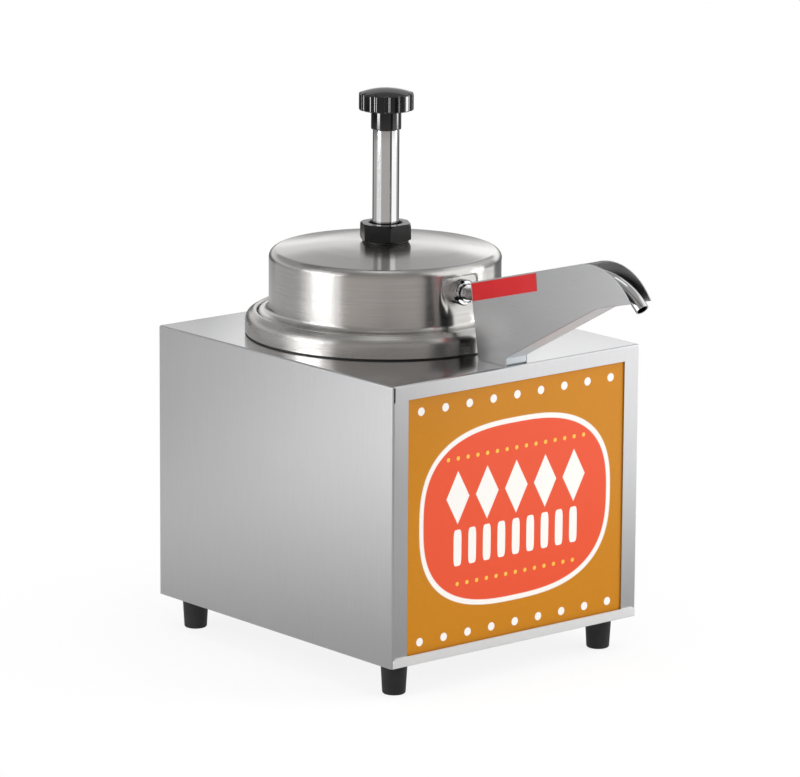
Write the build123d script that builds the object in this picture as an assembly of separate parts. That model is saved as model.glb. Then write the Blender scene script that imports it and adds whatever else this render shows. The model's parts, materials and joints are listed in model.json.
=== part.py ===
# Countertop topping warmer: a folded steel cabinet with a lit sign, a heated well with a hanging food jar,
# a lid that carries a spring-return piston pump, and a heated spout trough over the front edge.
#
# X runs across the cabinet, the front faces -Y and Z is up. Everything is modelled about the middle of the
# cabinet's floor area, and moved at the end so that the origin lies on the table, below the middle of the
# whole warmer's bounding box. All sizes are in millimetres.

from build123d import *
from math import cos, radians, sin, sqrt, tan
import os

# Cabinet
cabinet_width = 229.0
cabinet_depth = 262.8
cabinet_height = 200.0
foot_height = 24.0
sheet = 1.0
fold_radius = 1.5

# Fits
overcut = 1.0               # how far a cutter reaches past the face that it cuts
hole_play = 0.1             # round a screw or barrel in its hole in a sheet
assembly_gap = 0.3          # between sheet pieces that slide together
seat_fit = 0.02             # round a part that is pushed or brazed home
running_fit = 0.05          # round a part that slides or turns

# Front frame round the sign
side_border = 14.0
header_height = 11.0
sill_height = 7.2
corner_slit_length = 10.5
corner_slit_width = 1.2

# Rear opening, the panel that closes it and its screws
rear_border = 12.0
rear_panel_margin = 4.0
rear_screw_radius = 1.9
rear_screw_x = 105.0
rear_screw_top_drop = 8.0
rear_screw_low_rise = 16.0

# Feet
foot_inset_x = 18.5
foot_inset_y = 19.0
foot_screw_radius = 2.4
foot_nut_radius = 4.6
foot_nut_height = 4.0

# Sign, its rails and the light tray behind it
sign_thickness = 3.0
sign_overlap = 4.0
sign_setback = 0.2
tray_gap = 3.0
tray_depth = 22.0
tray_inset = 2.0
tray_top_drop = 14.0

# Pump, lid, jar and well share one upright axis
axis_y = 14.0
collar_radius = 100.5
collar_height = 16.5
collar_rounding = 6.9
collar_edge = 0.7
collar_wall_radius = 92.3
ledge_height = 8.0
well_radius = 85.5
well_floor_z = 34.0
well_hole_play = 3.0
jar_radius = 80.0
jar_rim_radius = 90.7
jar_floor_z = 44.0
floor_bend = 12.0

# What holds, heats and wraps the well
stud_circle = 94.9
stud_radius = 1.7
stud_play = 0.3
stud_count = 4
stud_start_angle = 45.0
clamp_thickness = 2.0
heater_low_z = 62.0
heater_high_z = 114.0
heater_split = 14.0
heater_ear_thickness = 1.5
heater_bolt_radius = 1.9
heater_bolt_inset = 14.0
heater_bolt_offset = 8.5
insulation_inner = 90.5
insulation_outer = 100.0
insulation_gap = 56.0
gap_direction = 126.0

# Lid
lid_hem_radius = 90.5
lid_wall_radius = 83.0
lid_shoulder_height = 59.3
lid_crown_height = 65.7
lid_pad_width = 32.0
lid_pad_depth = 2.4
lid_pad_above = 11.6
lid_pad_below = 15.0

# Pump
tube_radius = 9.5
tube_wall = 1.2
cylinder_radius = 17.0
cylinder_bore = 15.0
neck_radius = 11.2
neck_height = 11.3
lock_nut_stand = 1.5
lock_nut_height = 12.5
cylinder_drop = 1.6
rod_radius = 3.5
piston_length = 15.0
piston_top_gap = 4.4
knob_socket = 8.0
seal_groove_start = 5.0
seal_groove_width = 4.0
seal_groove_depth = 2.2
inlet_seat_height = 14.0
outlet_seat_height = 21.0
outlet_chamber_height = 11.2
valve_floor_z = 146.0
valve_height = 30.0
suction_radius = 6.0
suction_socket = 10.0
discharge_radius = 4.75
discharge_bore = 3.75
fitting_z = 266.3
outlet_y = -16.0
inlet_ball_radius = 6.0
inlet_hole = 4.5
outlet_ball_radius = 4.5
outlet_hole = 3.4
ball_lift = 2.5
ball_rest_gap = 0.3
retainer_radius = 1.2

# Spout
spout_width = 20.0
spout_rear_y = -90.3
spout_top_rear_z = 277.6
spout_foot_rear_y = -99.6
spout_foot_front_y = -128.8
spout_crest_y = -200.0
spout_crest_z = 307.1
spout_shoulder_y = -230.0
spout_shoulder_z = 307.2
spout_tip_y = -254.6
spout_tip_z = 288.4
spout_belly_y = -222.0
spout_belly_z = 280.3
spout_rise = 15.3
spout_lead_y = -110.0
spout_lead_radius = 4.0
spout_screw_ys = (-103.5, -121.0)
spout_screw_radius = 1.9
bend_start_y = -84.0
saddle_low_y = -196.0
saddle_high_y = -104.0
nozzle_reach = 259.5
nozzle_z = 283.6
nozzle_fall = 42.0

# Knob
knob_bottom_z = 371.0
knob_head_z = 385.2
knob_rim_z = 397.0
knob_top_z = 400.6
knob_radius = 19.6
knob_lobes = 12
knob_phase = 52.5

# Controls and cord gland on the rear panel
controls_x = -78.0
lamp_z = 186.0
dial_z = 140.0
switch_z = 92.0
dial_height = 15.0
dial_gap = 1.0
bushing_radius = 4.8
shaft_radius = 3.0
shaft_flat = 1.6
thermostat_half = 17.0
thermostat_depth = 22.0
thermostat_gap = 0.4
lamp_barrel_radius = 4.9
switch_body_width = 12.6
switch_body_height = 18.8
rocker_radius = 8.2
rocker_half_width = 5.0
rocker_rise = 1.6
rocker_tilt = 11.0
gland_x = 76.0
gland_z = 56.0
gland_barrel_radius = 7.5
gland_bore = 3.7

# Worked out from the above
half_width = cabinet_width / 2
half_sheet = sheet / 2
front_y = -cabinet_depth / 2
rear_y = cabinet_depth / 2
deck_z = foot_height + cabinet_height
panel_face_y = rear_y + sheet
rear_reach = panel_face_y + dial_height + dial_gap
origin_shift = (nozzle_reach - rear_reach) / 2
pump_axis = Pos(0, axis_y, 0)
bottom = (Align.CENTER, Align.CENTER, Align.MIN)

rear_screw_places = [(x, deck_z - rear_screw_top_drop) for x in (-rear_screw_x, 0, rear_screw_x)]
rear_screw_places += [
    (x, z)
    for x in (-rear_screw_x, rear_screw_x)
    for z in (foot_height + rear_screw_low_rise, foot_height + cabinet_height / 2)
]
foot_x = half_width - foot_inset_x
foot_y = rear_y - foot_inset_y
foot_places = {
    "foot_front_left": (-foot_x, -foot_y),
    "foot_front_right": (foot_x, -foot_y),
    "foot_rear_left": (-foot_x, foot_y),
    "foot_rear_right": (foot_x, foot_y),
}

sign_half_width = half_width - side_border + sign_overlap
sign_front_y = front_y + sheet + sign_setback
sign_back_y = sign_front_y + sign_thickness
tray_front_y = sign_back_y + tray_gap
tray_back_y = tray_front_y + tray_depth
tray_half_width = sign_half_width - tray_inset
tray_top_z = deck_z - tray_top_drop

ledge_z = deck_z + ledge_height
collar_top_z = deck_z + collar_height
lid_flange_z = collar_top_z - half_sheet
jar_rim_z = ledge_z + half_sheet
clamp_low_z = deck_z - sheet - clamp_thickness
band_radius = well_radius + half_sheet
heater_bolt_heights = (heater_low_z + heater_bolt_inset, heater_high_z - heater_bolt_inset)

lid_crown_z = deck_z + lid_crown_height
lid_shoulder_z = deck_z + lid_shoulder_height
neck_top_z = lid_crown_z + neck_height
nut_bottom_z = lid_crown_z + lock_nut_stand
nut_top_z = nut_bottom_z + lock_nut_height
cylinder_top_z = lid_crown_z - cylinder_drop
cylinder_foot_z = valve_floor_z + valve_height
pad_y = axis_y - lid_wall_radius - half_sheet + lid_pad_depth
pad_top_z = fitting_z + lid_pad_above
pad_low_z = fitting_z - lid_pad_below
inlet_seat_z = valve_floor_z + inlet_seat_height
outlet_seat_z = valve_floor_z + outlet_seat_height
riser_foot_z = outlet_seat_z + outlet_chamber_height
piston_high_z = cylinder_top_z - piston_top_gap
piston_low_z = piston_high_z - piston_length
groove_low_z = piston_low_z + seal_groove_start
groove_high_z = groove_low_z + seal_groove_width
groove_radius = cylinder_bore - seal_groove_depth

half_spout = spout_width / 2
nozzle_end_y = -(nozzle_reach - discharge_radius * sin(radians(nozzle_fall)))
saddle_length = (saddle_high_y - saddle_low_y) / cos(radians(spout_rise))
thermostat_face_y = rear_y - sheet - thermostat_gap
rocker_pivot_y = panel_face_y + rocker_rise


# Shapes that several pieces are made from

def side_line(points, bends, reach):
    """The line beside a bent sheet's centre line, at a distance of reach to its left."""
    line_points = [Vector(*point) for point in points]
    ways = [(b - a).normalized() for a, b in zip(line_points, line_points[1:])]
    lefts = [Vector(-way.Y, way.X) for way in ways]
    moved = [line_points[0] + lefts[0] * reach]
    radii = []
    for point, before, after, way, bend in zip(line_points[1:-1], lefts, lefts[1:], ways[1:], bends):
        moved.append(point + (before + after) * (reach / (1 + before.dot(after))))
        turns_left = before.dot(way) > 0
        radii.append(bend - reach if turns_left else bend + reach)
    moved.append(line_points[-1] + lefts[-1] * reach)
    return FilletPolyline(*moved, radius=radii)


def bent_strip(points, bends, thickness=sheet):
    """The section of a sheet that follows a centre line, with a bend radius at each corner."""
    left = side_line(points, bends, thickness / 2)
    right = side_line(points, bends, -thickness / 2)
    ends = [Line(left @ 0, right @ 0), Line(left @ 1, right @ 1)]
    return make_face(left.edges() + right.edges() + ends)


def turned(section):
    """A section drawn as radius and height, turned round the pump axis."""
    return pump_axis * revolve(Plane.XZ * section, Axis.Z)


def ring(outer, inner, low, high):
    """An upright ring, or a disc where the inner radius is none."""
    body = Pos(0, 0, low) * Cylinder(outer, high - low, align=bottom)
    if inner:
        body -= Pos(0, 0, low - overcut) * Cylinder(inner, high - low + 2 * overcut, align=bottom)
    return body


def slab(x_ends, y_ends, z_ends):
    """A box between two ends along each axis, whichever comes first."""
    ends = (x_ends, y_ends, z_ends)
    middle = [(start + end) / 2 for start, end in ends]
    size = [abs(end - start) for start, end in ends]
    return Pos(*middle) * Box(*size)


def rod_along(axis, radius, start, length):
    """A round bar from a start point along X, Y or Z."""
    direction = {"x": (1, 0, 0), "y": (0, 1, 0), "z": (0, 0, 1)}[axis]
    return Plane(origin=start, z_dir=direction) * Cylinder(radius, length, align=bottom)


def hexagon(corner_radius, low, high):
    """An upright hexagonal prism."""
    return Pos(0, 0, low) * extrude(RegularPolygon(corner_radius, 6), high - low)


def round_end(bar, radius):
    """A bar along Y with the edge of its rear end rounded."""
    return fillet(bar.edges().filter_by(GeomType.CIRCLE).sort_by(Axis.Y)[-1], radius)


def deck_hole(y, radius):
    """Cutter for a round hole through the deck on the cabinet's middle line."""
    return Pos(0, y, 0) * ring(radius, 0, deck_z - sheet - overcut, deck_z + sheet + overcut)


def rear_hole(x, z, radius):
    """Cutter for a round hole through the rear panel and the frame behind it."""
    start_y = rear_y - sheet - overcut
    return rod_along("y", radius, (x, start_y, z), panel_face_y + overcut - start_y)


def stud_places():
    """Frames round the pump axis where the well's studs stand."""
    return [pump_axis * place for place in PolarLocations(stud_circle, stud_count, stud_start_angle)]


# Cabinet

def make_housing_shell():
    """Left side, deck and right side in one sheet, with frames folded in round both end openings."""
    wall = Pos(0, 0, foot_height) * Box(cabinet_width, cabinet_depth, cabinet_height, align=bottom)
    folds = wall.edges().filter_by(Axis.Z) + wall.faces().sort_by(Axis.Z)[-1].edges()
    wall = fillet(folds, fold_radius)
    room_size = (cabinet_width - 2 * sheet, cabinet_depth - 2 * sheet, cabinet_height - sheet)
    room = Pos(0, 0, foot_height) * Box(*room_size, align=bottom)
    inner_folds = room.edges().filter_by(Axis.Z) + room.faces().sort_by(Axis.Z)[-1].edges()
    shell = wall - fillet(inner_folds, fold_radius - sheet)

    through_front = (front_y - overcut, front_y + sheet + overcut)
    through_rear = (rear_y - sheet - overcut, rear_y + overcut)
    below = foot_height - overcut
    window_x = half_width - side_border
    shell -= slab((-window_x, window_x), through_front, (below, deck_z - header_height))
    rear_x = half_width - rear_border
    shell -= slab((-rear_x, rear_x), through_rear, (below, deck_z - rear_border))

    # the base pan's sill passes below the front frame
    under_x = half_width - sheet
    shell -= slab((-under_x, under_x), through_front, (below, foot_height + sheet + assembly_gap))

    # relief slit where the header meets the left side sheet
    slit_x = sheet - half_width
    slit_top = deck_z - sheet
    shell -= slab(
        (slit_x, slit_x + corner_slit_width),
        (front_y - overcut, sign_front_y),
        (slit_top - corner_slit_length, slit_top),
    )

    shell -= deck_hole(axis_y, well_radius + well_hole_play)
    for place in stud_places():
        shell -= place * ring(stud_radius + stud_play, 0, deck_z - sheet - overcut, deck_z + overcut)
    shell -= deck_hole(spout_lead_y, spout_lead_radius)
    for y in spout_screw_ys:
        shell -= deck_hole(y, spout_screw_radius + hole_play)
    for x, z in rear_screw_places:
        shell -= rear_hole(x, z, rear_screw_radius + hole_play)
    return shell


def make_base_pan():
    """Floor of the cabinet, with lips folded up inside the sides and a sill in front of the sign."""
    lip_height = 12.0
    lip_start_y = front_y + 12.0
    sill_corner = 3.0
    sill_bend = 0.9
    inside_x = half_width - sheet - assembly_gap
    inside_y = rear_y - sheet - assembly_gap
    sill_y = front_y - sheet
    floor_top = foot_height + sheet
    lip_ends = (foot_height, foot_height + lip_height)
    pan = slab((-inside_x, inside_x), (sill_y, inside_y), (foot_height, floor_top))
    sill = slab((-inside_x, inside_x), (sill_y, front_y), (foot_height, foot_height + sill_height))
    pan += fillet(sill.edges().filter_by(Axis.Y).group_by(Axis.Z)[-1], sill_corner)
    for side in (-1, 1):
        pan += slab((side * inside_x, side * (inside_x - sheet)), (lip_start_y, inside_y), lip_ends)
    pan += slab((-inside_x, inside_x), (inside_y - sheet, inside_y), lip_ends)
    low_front = pan.edges().filter_by(Axis.X).group_by(Axis.Y)[0].sort_by(Axis.Z)[0]
    pan = fillet(low_front, sill_bend)

    # air slots each side of the well
    slot_length = 46.0
    slot_width = 4.0
    slot_x = 72.0
    slot_start_y = -42.0
    slot_pitch = 36.0
    slot_rows = 4
    slot = extrude(SlotOverall(slot_length, slot_width), sheet + 2 * overcut)
    for x in (-slot_x, slot_x):
        for row in range(slot_rows):
            pan -= Pos(x, slot_start_y + slot_pitch * row, foot_height - overcut) * slot
    screw_hole = ring(foot_screw_radius + hole_play, 0, foot_height - overcut, floor_top + overcut)
    for x, y in foot_places.values():
        pan -= Pos(x, y, 0) * screw_hole
    return pan


def make_rear_panel():
    """Flat panel over the rear opening, with the controls' cut-outs and two banks of air slots."""
    corner = 3.0
    low_margin = 3.0
    reach_x = half_width - rear_panel_margin
    through = (rear_y - overcut, panel_face_y + overcut)
    panel = slab(
        (-reach_x, reach_x), (rear_y, panel_face_y), (foot_height + low_margin, deck_z - rear_panel_margin)
    )
    panel = fillet(panel.edges().filter_by(Axis.Y), corner)

    slot_length = 50.0
    slot_width = 4.0
    slot_columns = (8.0, 68.0)
    slot_top_z = 198.0
    slot_pitch = 11.0
    slot_rows = 7
    slot = extrude(Plane.XZ * SlotOverall(slot_length, slot_width), sheet + 2 * overcut)
    for x in slot_columns:
        for row in range(slot_rows):
            panel -= Pos(x, panel_face_y + overcut, slot_top_z - slot_pitch * row) * slot

    panel -= rear_hole(controls_x, lamp_z, lamp_barrel_radius + hole_play)
    panel -= rear_hole(controls_x, dial_z, bushing_radius + hole_play)
    panel -= rear_hole(gland_x, gland_z, gland_barrel_radius + hole_play)
    cut_x = switch_body_width / 2 + hole_play
    cut_z = switch_body_height / 2 + hole_play
    panel -= slab((controls_x - cut_x, controls_x + cut_x), through, (switch_z - cut_z, switch_z + cut_z))
    for x, z in rear_screw_places:
        panel -= rear_hole(x, z, rear_screw_radius + hole_play)
    return panel


def make_rear_screws():
    """Low-headed screws that hold the rear panel to the frame."""
    head_radius = 3.8
    head_height = 1.8
    head_rounding = 0.8
    shank_length = 8.0
    screws = []
    for x, z in rear_screw_places:
        head = round_end(rod_along("y", head_radius, (x, panel_face_y, z), head_height), head_rounding)
        shank = rod_along("y", rear_screw_radius, (x, panel_face_y - shank_length, z), shank_length)
        screws.append(head + shank)
    return screws


def make_foot(x, y):
    """Tapered rubber foot with a counterbore for its screw."""
    ground_radius = 8.2
    top_radius = 9.6
    rounding = 1.4
    counterbore_radius = 5.0
    counterbore_depth = 9.0
    foot = Cone(ground_radius, top_radius, foot_height, align=bottom)
    foot = fillet(foot.edges().sort_by(Axis.Z)[0], rounding)
    foot -= ring(counterbore_radius, 0, -overcut, counterbore_depth)
    foot -= ring(foot_screw_radius + hole_play, 0, -overcut, foot_height + overcut)
    return Pos(x, y, 0) * foot


def make_foot_screws():
    """Pan-head screws up through the feet, each with its nut inside the cabinet."""
    head_radius = 4.2
    head_low_z = 6.0
    head_high_z = 9.0
    tip_z = foot_height + 9.0
    nut_z = foot_height + sheet
    screws = []
    for x, y in foot_places.values():
        screw = ring(head_radius, 0, head_low_z, head_high_z)
        screw += ring(foot_screw_radius, 0, head_high_z - overcut, tip_z)
        screw += hexagon(foot_nut_radius, nut_z, nut_z + foot_nut_height)
        screws.append(Pos(x, y, 0) * screw)
    return screws


# Sign and its light

def make_sign_panel():
    """Acrylic panel behind the frame, standing on the base pan."""
    x_ends = (-sign_half_width, sign_half_width)
    z_ends = (foot_height + sheet, deck_z - header_height + sign_overlap)
    return slab(x_ends, (sign_front_y, sign_back_y), z_ends)


def make_sign_rails():
    """Grooved uprights that the sign slides down into, one each side."""
    rail_inner = sign_half_width - 3.0
    rail_outer = sign_half_width + 3.4
    rail_front_y = sign_front_y - 0.1
    rail_back_y = sign_back_y + 2.4
    rails = []
    for side in (-1, 1):
        rail = slab(
            (side * rail_inner, side * rail_outer),
            (rail_front_y, rail_back_y),
            (foot_height + sheet, deck_z - header_height),
        )
        rail -= slab(
            (side * (rail_inner - overcut), side * (sign_half_width + assembly_gap)),
            (rail_front_y - overcut, sign_back_y + assembly_gap),
            (foot_height, deck_z),
        )
        rails.append(rail)
    return rails


def make_light_tray():
    """Open-fronted white tray that spreads the light behind the sign."""
    inside_x = tray_half_width - sheet
    floor_z = foot_height + sheet
    nut_play = 0.6
    tray = slab((-tray_half_width, tray_half_width), (tray_front_y, tray_back_y), (floor_z, tray_top_z))
    tray -= slab(
        (-inside_x, inside_x),
        (tray_front_y - overcut, tray_back_y - sheet),
        (floor_z + sheet, tray_top_z - sheet),
    )
    for name in ("foot_front_left", "foot_front_right"):
        x, y = foot_places[name]
        tray -= Pos(x, y, 0) * ring(foot_nut_radius + nut_play, 0, foot_height, floor_z + sheet + overcut)
    return tray


def make_led_strips():
    """Two upright boards on the tray's back, each with a row of light-emitting blocks."""
    strip_x = 52.0
    board_half_width = 7.0
    board_thickness = 1.6
    board_ends = (38.0, 204.0)
    block_half = 2.5
    block_count = 8
    block_low_z = 50.0
    block_pitch = 20.0
    board_y = tray_back_y - sheet
    face_y = board_y - board_thickness
    strips = []
    for x in (-strip_x, strip_x):
        strip = slab((x - board_half_width, x + board_half_width), (face_y, board_y), board_ends)
        for row in range(block_count):
            z = block_low_z + block_pitch * row
            strip += slab(
                (x - block_half, x + block_half),
                (face_y - board_thickness, face_y),
                (z - block_half, z + block_half),
            )
        strips.append(strip)
    return strips


def make_led_driver():
    """Power supply for the light, in the corner behind the tray."""
    case_x = (74.0, 108.0)
    case_y = (-98.0, -64.0)
    case_height = 28.0
    corner = 2.0
    floor_z = foot_height + sheet
    driver = slab(case_x, case_y, (floor_z, floor_z + case_height))
    return fillet(driver.edges().filter_by(Axis.Z), corner)


# Well and what heats it

def make_well():
    """Deep-drawn water well whose rim is rolled into the collar that stands on the deck."""
    skirt_radius = collar_radius - half_sheet
    ledge_line = ledge_z - half_sheet
    ledge_inner_bend = 1.0
    ledge_outer_bend = 1.6
    centre_line = [
        (skirt_radius, deck_z + sheet),
        (skirt_radius, lid_flange_z),
        (collar_wall_radius, lid_flange_z),
        (collar_wall_radius, ledge_line),
        (well_radius, ledge_line),
        (well_radius, well_floor_z),
        (0, well_floor_z),
    ]
    bends = [collar_rounding, collar_edge, ledge_inner_bend, ledge_outer_bend, floor_bend]
    return turned(bent_strip(centre_line, bends))


def make_well_gasket():
    """Black sealing ring between the collar and the deck."""
    outer = collar_radius - 0.7
    width = 2.9
    return pump_axis * ring(outer, outer - width, deck_z, deck_z + sheet)


def make_well_clamp():
    """Flat ring below the deck that the well's studs pull up."""
    reach = 5.0
    inner_play = 1.5
    clamp = pump_axis * ring(stud_circle + reach, well_radius + inner_play, clamp_low_z, deck_z - sheet)
    for place in stud_places():
        clamp -= place * ring(stud_radius + stud_play, 0, clamp_low_z - overcut, deck_z)
    return clamp


def make_well_studs():
    """Four studs inside the collar with the nuts that hold the clamp ring."""
    nut_radius = 3.9
    nut_height = 3.2
    tail = 7.0
    top_z = collar_top_z - 2.1
    studs = []
    for place in stud_places():
        stud = ring(stud_radius, 0, clamp_low_z - tail, top_z)
        stud += hexagon(nut_radius, clamp_low_z - nut_height, clamp_low_z)
        studs.append(place * stud)
    return studs


def facing(angle):
    """A frame on the pump axis whose local X points at an angle round the well."""
    return pump_axis * Rot(0, 0, angle)


def make_heater_band():
    """Mica band heater clamped round the well, with an ear each side of its split and two terminals."""
    band_thickness = 2.6
    ear_reach = 13.0
    ear_root = 0.2
    ear_inset = 4.0
    post_angle = 12.0
    post_radius = 3.0
    post_length = 9.0
    post_root = 1.5
    half_split = heater_split / 2
    middle_z = (heater_low_z + heater_high_z) / 2
    bolt_reach = 12.0
    band = ring(band_radius + band_thickness, band_radius + running_fit, heater_low_z, heater_high_z)
    split_ends = (heater_low_z - overcut, heater_high_z + overcut)
    band -= slab((0, insulation_outer), (-half_split, half_split), split_ends)
    for side in (-1, 1):
        band += slab(
            (band_radius + ear_root, band_radius + ear_reach),
            (side * half_split, side * (half_split + heater_ear_thickness)),
            (heater_low_z + ear_inset, heater_high_z - ear_inset),
        )
        post = rod_along("x", post_radius, (band_radius + post_root, 0, middle_z), post_length)
        band += Rot(0, 0, side * post_angle) * post
    for z in heater_bolt_heights:
        start = (band_radius + heater_bolt_offset, -bolt_reach, z)
        band -= rod_along("y", heater_bolt_radius + hole_play, start, 2 * bolt_reach)
    return facing(gap_direction) * band


def make_heater_bolts():
    """The two bolts that draw the band's ears together."""
    head_radius = 3.6
    head_height = 3.0
    bolt_reach = 12.0
    ear_face = heater_split / 2 + heater_ear_thickness
    bolt_x = band_radius + heater_bolt_offset
    bolts = []
    for z in heater_bolt_heights:
        bolt = rod_along("y", heater_bolt_radius, (bolt_x, -bolt_reach, z), 2 * bolt_reach)
        bolt += rod_along("y", head_radius, (bolt_x, ear_face, z), head_height)
        bolt += rod_along("y", head_radius, (bolt_x, -ear_face - head_height, z), head_height)
        bolts.append(facing(gap_direction) * bolt)
    return bolts


def make_insulation_wrap():
    """Glass-wool blanket round the well, open where the heater's ears and the sensors are."""
    end_margin = 14.0
    blanket = ring(insulation_outer, insulation_inner, foot_height + end_margin, deck_z - end_margin)
    reach = 1.4 * insulation_outer
    half_opening = reach * tan(radians(insulation_gap / 2))
    wedge = Polyline((0, 0), (reach, -half_opening), (reach, half_opening), close=True)
    blanket -= Rot(0, 0, gap_direction) * extrude(make_face(wedge), deck_z)
    return pump_axis * blanket


def make_insulation_disc():
    """Mineral-fibre disc that the well stands on."""
    inset = 9.0
    return pump_axis * ring(well_radius - inset, 0, foot_height + sheet, well_floor_z - half_sheet)


def make_high_limit():
    """Snap-disc cut-out clipped to the well above the heater."""
    centre_z = 150.0
    disc_radius = 8.0
    disc_gap = 0.3
    disc_depth = 9.0
    bracket_thickness = 1.5
    bracket_half_length = 11.0
    bracket_half_height = 5.0
    terminal_place = 5.0
    terminal_half_width = 3.0
    terminal_half_thickness = 0.4
    terminal_length = 6.5
    angle_from_gap = 14.0
    bracket_x = band_radius + disc_depth
    terminal_x = bracket_x + bracket_thickness
    body = rod_along("x", disc_radius, (band_radius + disc_gap, 0, centre_z), disc_depth)
    body += slab(
        (bracket_x, terminal_x),
        (-bracket_half_length, bracket_half_length),
        (centre_z - bracket_half_height, centre_z + bracket_half_height),
    )
    for side in (-1, 1):
        body += slab(
            (terminal_x - half_sheet, terminal_x + terminal_length),
            (side * terminal_place - terminal_half_width, side * terminal_place + terminal_half_width),
            (centre_z - terminal_half_thickness, centre_z + terminal_half_thickness),
        )
    return facing(gap_direction - angle_from_gap) * body


# Controls on the rear

def make_thermostat_body():
    """Capillary thermostat behind the rear panel, with the bushing its shaft turns in."""
    corner = 3.0
    bushing_stand = 1.4
    bore_depth = 8.0
    tab_place = 9.0
    tab_half_width = 3.0
    tab_half_thickness = 0.4
    tab_length = 7.0
    tab_drop = 10.0
    back_y = thermostat_face_y - thermostat_depth
    body = slab(
        (controls_x - thermostat_half, controls_x + thermostat_half),
        (back_y, thermostat_face_y),
        (dial_z - thermostat_half, dial_z + thermostat_half),
    )
    body = fillet(body.edges().filter_by(Axis.Y), corner)
    bushing_start = thermostat_face_y - overcut
    bushing_length = panel_face_y + bushing_stand - bushing_start
    body += rod_along("y", bushing_radius, (controls_x, bushing_start, dial_z), bushing_length)
    bore_start = thermostat_face_y - bore_depth
    bore_length = panel_face_y + bushing_stand + overcut - bore_start
    body -= rod_along("y", shaft_radius + running_fit, (controls_x, bore_start, dial_z), bore_length)
    for side in (-1, 1):
        tab_x = controls_x + side * tab_place
        tab_z = dial_z - tab_drop
        body += slab(
            (tab_x - tab_half_width, tab_x + tab_half_width),
            (back_y - tab_length, back_y),
            (tab_z - tab_half_thickness, tab_z + tab_half_thickness),
        )
    return body


def make_thermostat_shaft():
    """The D-shaped spindle that carries the dial."""
    depth = 7.6
    stand = 11.0
    flat_start = 2.2
    start_y = thermostat_face_y - depth
    end_y = panel_face_y + stand
    shaft = rod_along("y", shaft_radius, (controls_x, start_y, dial_z), end_y - start_y)
    flat = slab(
        (controls_x - shaft_radius - overcut, controls_x + shaft_radius + overcut),
        (panel_face_y + flat_start, end_y + overcut),
        (dial_z + shaft_flat, dial_z + shaft_radius + overcut),
    )
    return shaft - flat


def make_thermostat_dial():
    """Skirted dial with a raised finger grip."""
    skirt_radius = 17.0
    skirt_thickness = 3.0
    skirt_rounding = 1.2
    hub_radius = 12.5
    hub_root = 2.0
    grip_half = 3.6
    grip_root = 3.2
    grip_rounding = 1.4
    bushing_play = 0.4
    bushing_recess = 1.4
    bore_depth = 10.2
    low_y = panel_face_y + dial_gap
    top_y = low_y + dial_height
    skirt = rod_along("y", skirt_radius, (controls_x, low_y, dial_z), skirt_thickness)
    skirt = round_end(skirt, skirt_rounding)
    hub = rod_along("y", hub_radius, (controls_x, low_y + hub_root, dial_z), dial_height - hub_root)
    for side in (-1, 1):
        hub -= slab(
            (controls_x + side * grip_half, controls_x + side * skirt_radius),
            (low_y + grip_root, top_y + overcut),
            (dial_z - skirt_radius, dial_z + skirt_radius),
        )
    hub = fillet(hub.edges().filter_by(Axis.Z).group_by(Axis.Y)[-1], grip_rounding)
    recess_start = (controls_x, low_y - overcut, dial_z)
    recess = rod_along("y", bushing_radius + bushing_play, recess_start, bushing_recess + overcut)
    dial = skirt + hub - recess
    bore = rod_along("y", shaft_radius + seat_fit, recess_start, bore_depth + overcut)
    bore -= slab(
        (controls_x - shaft_radius - overcut, controls_x + shaft_radius + overcut),
        (low_y - 2 * overcut, low_y + bore_depth + overcut),
        (dial_z + shaft_flat + seat_fit, dial_z + shaft_radius + overcut),
    )
    return dial - bore


def make_dial_plate():
    """Thin ring on the panel that carries the dial's scale."""
    radius = 24.0
    thickness = 0.5
    plate = rod_along("y", radius, (controls_x, panel_face_y, dial_z), thickness)
    return plate - rear_hole(controls_x, dial_z, bushing_radius + hole_play)


def make_switch_body():
    """Snap-in switch with a flat bezel and a round-bottomed pocket for the rocker."""
    bezel_half_width = 7.5
    bezel_half_height = 10.5
    bezel_thickness = 2.0
    bezel_corner = 1.5
    depth = 21.0
    rocker_play = 0.3
    tab_length = 7.0
    tab_place = 5.0
    tab_half_height = 2.4
    tab_half_thickness = 0.4
    half_x = switch_body_width / 2
    half_z = switch_body_height / 2
    back_y = panel_face_y - depth
    bezel = slab(
        (controls_x - bezel_half_width, controls_x + bezel_half_width),
        (panel_face_y, panel_face_y + bezel_thickness),
        (switch_z - bezel_half_height, switch_z + bezel_half_height),
    )
    body = fillet(bezel.edges().filter_by(Axis.Y), bezel_corner)
    body += slab(
        (controls_x - half_x, controls_x + half_x),
        (back_y, panel_face_y),
        (switch_z - half_z, switch_z + half_z),
    )
    pocket_half = rocker_half_width + rocker_play
    pocket_start = (controls_x - pocket_half, rocker_pivot_y, switch_z)
    body -= rod_along("x", rocker_radius + rocker_play, pocket_start, 2 * pocket_half)
    for side in (-1, 1):
        tab_z = switch_z + side * tab_place
        body += slab(
            (controls_x - tab_half_thickness, controls_x + tab_half_thickness),
            (back_y - tab_length, back_y),
            (tab_z - tab_half_height, tab_z + tab_half_height),
        )
    return body


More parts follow.
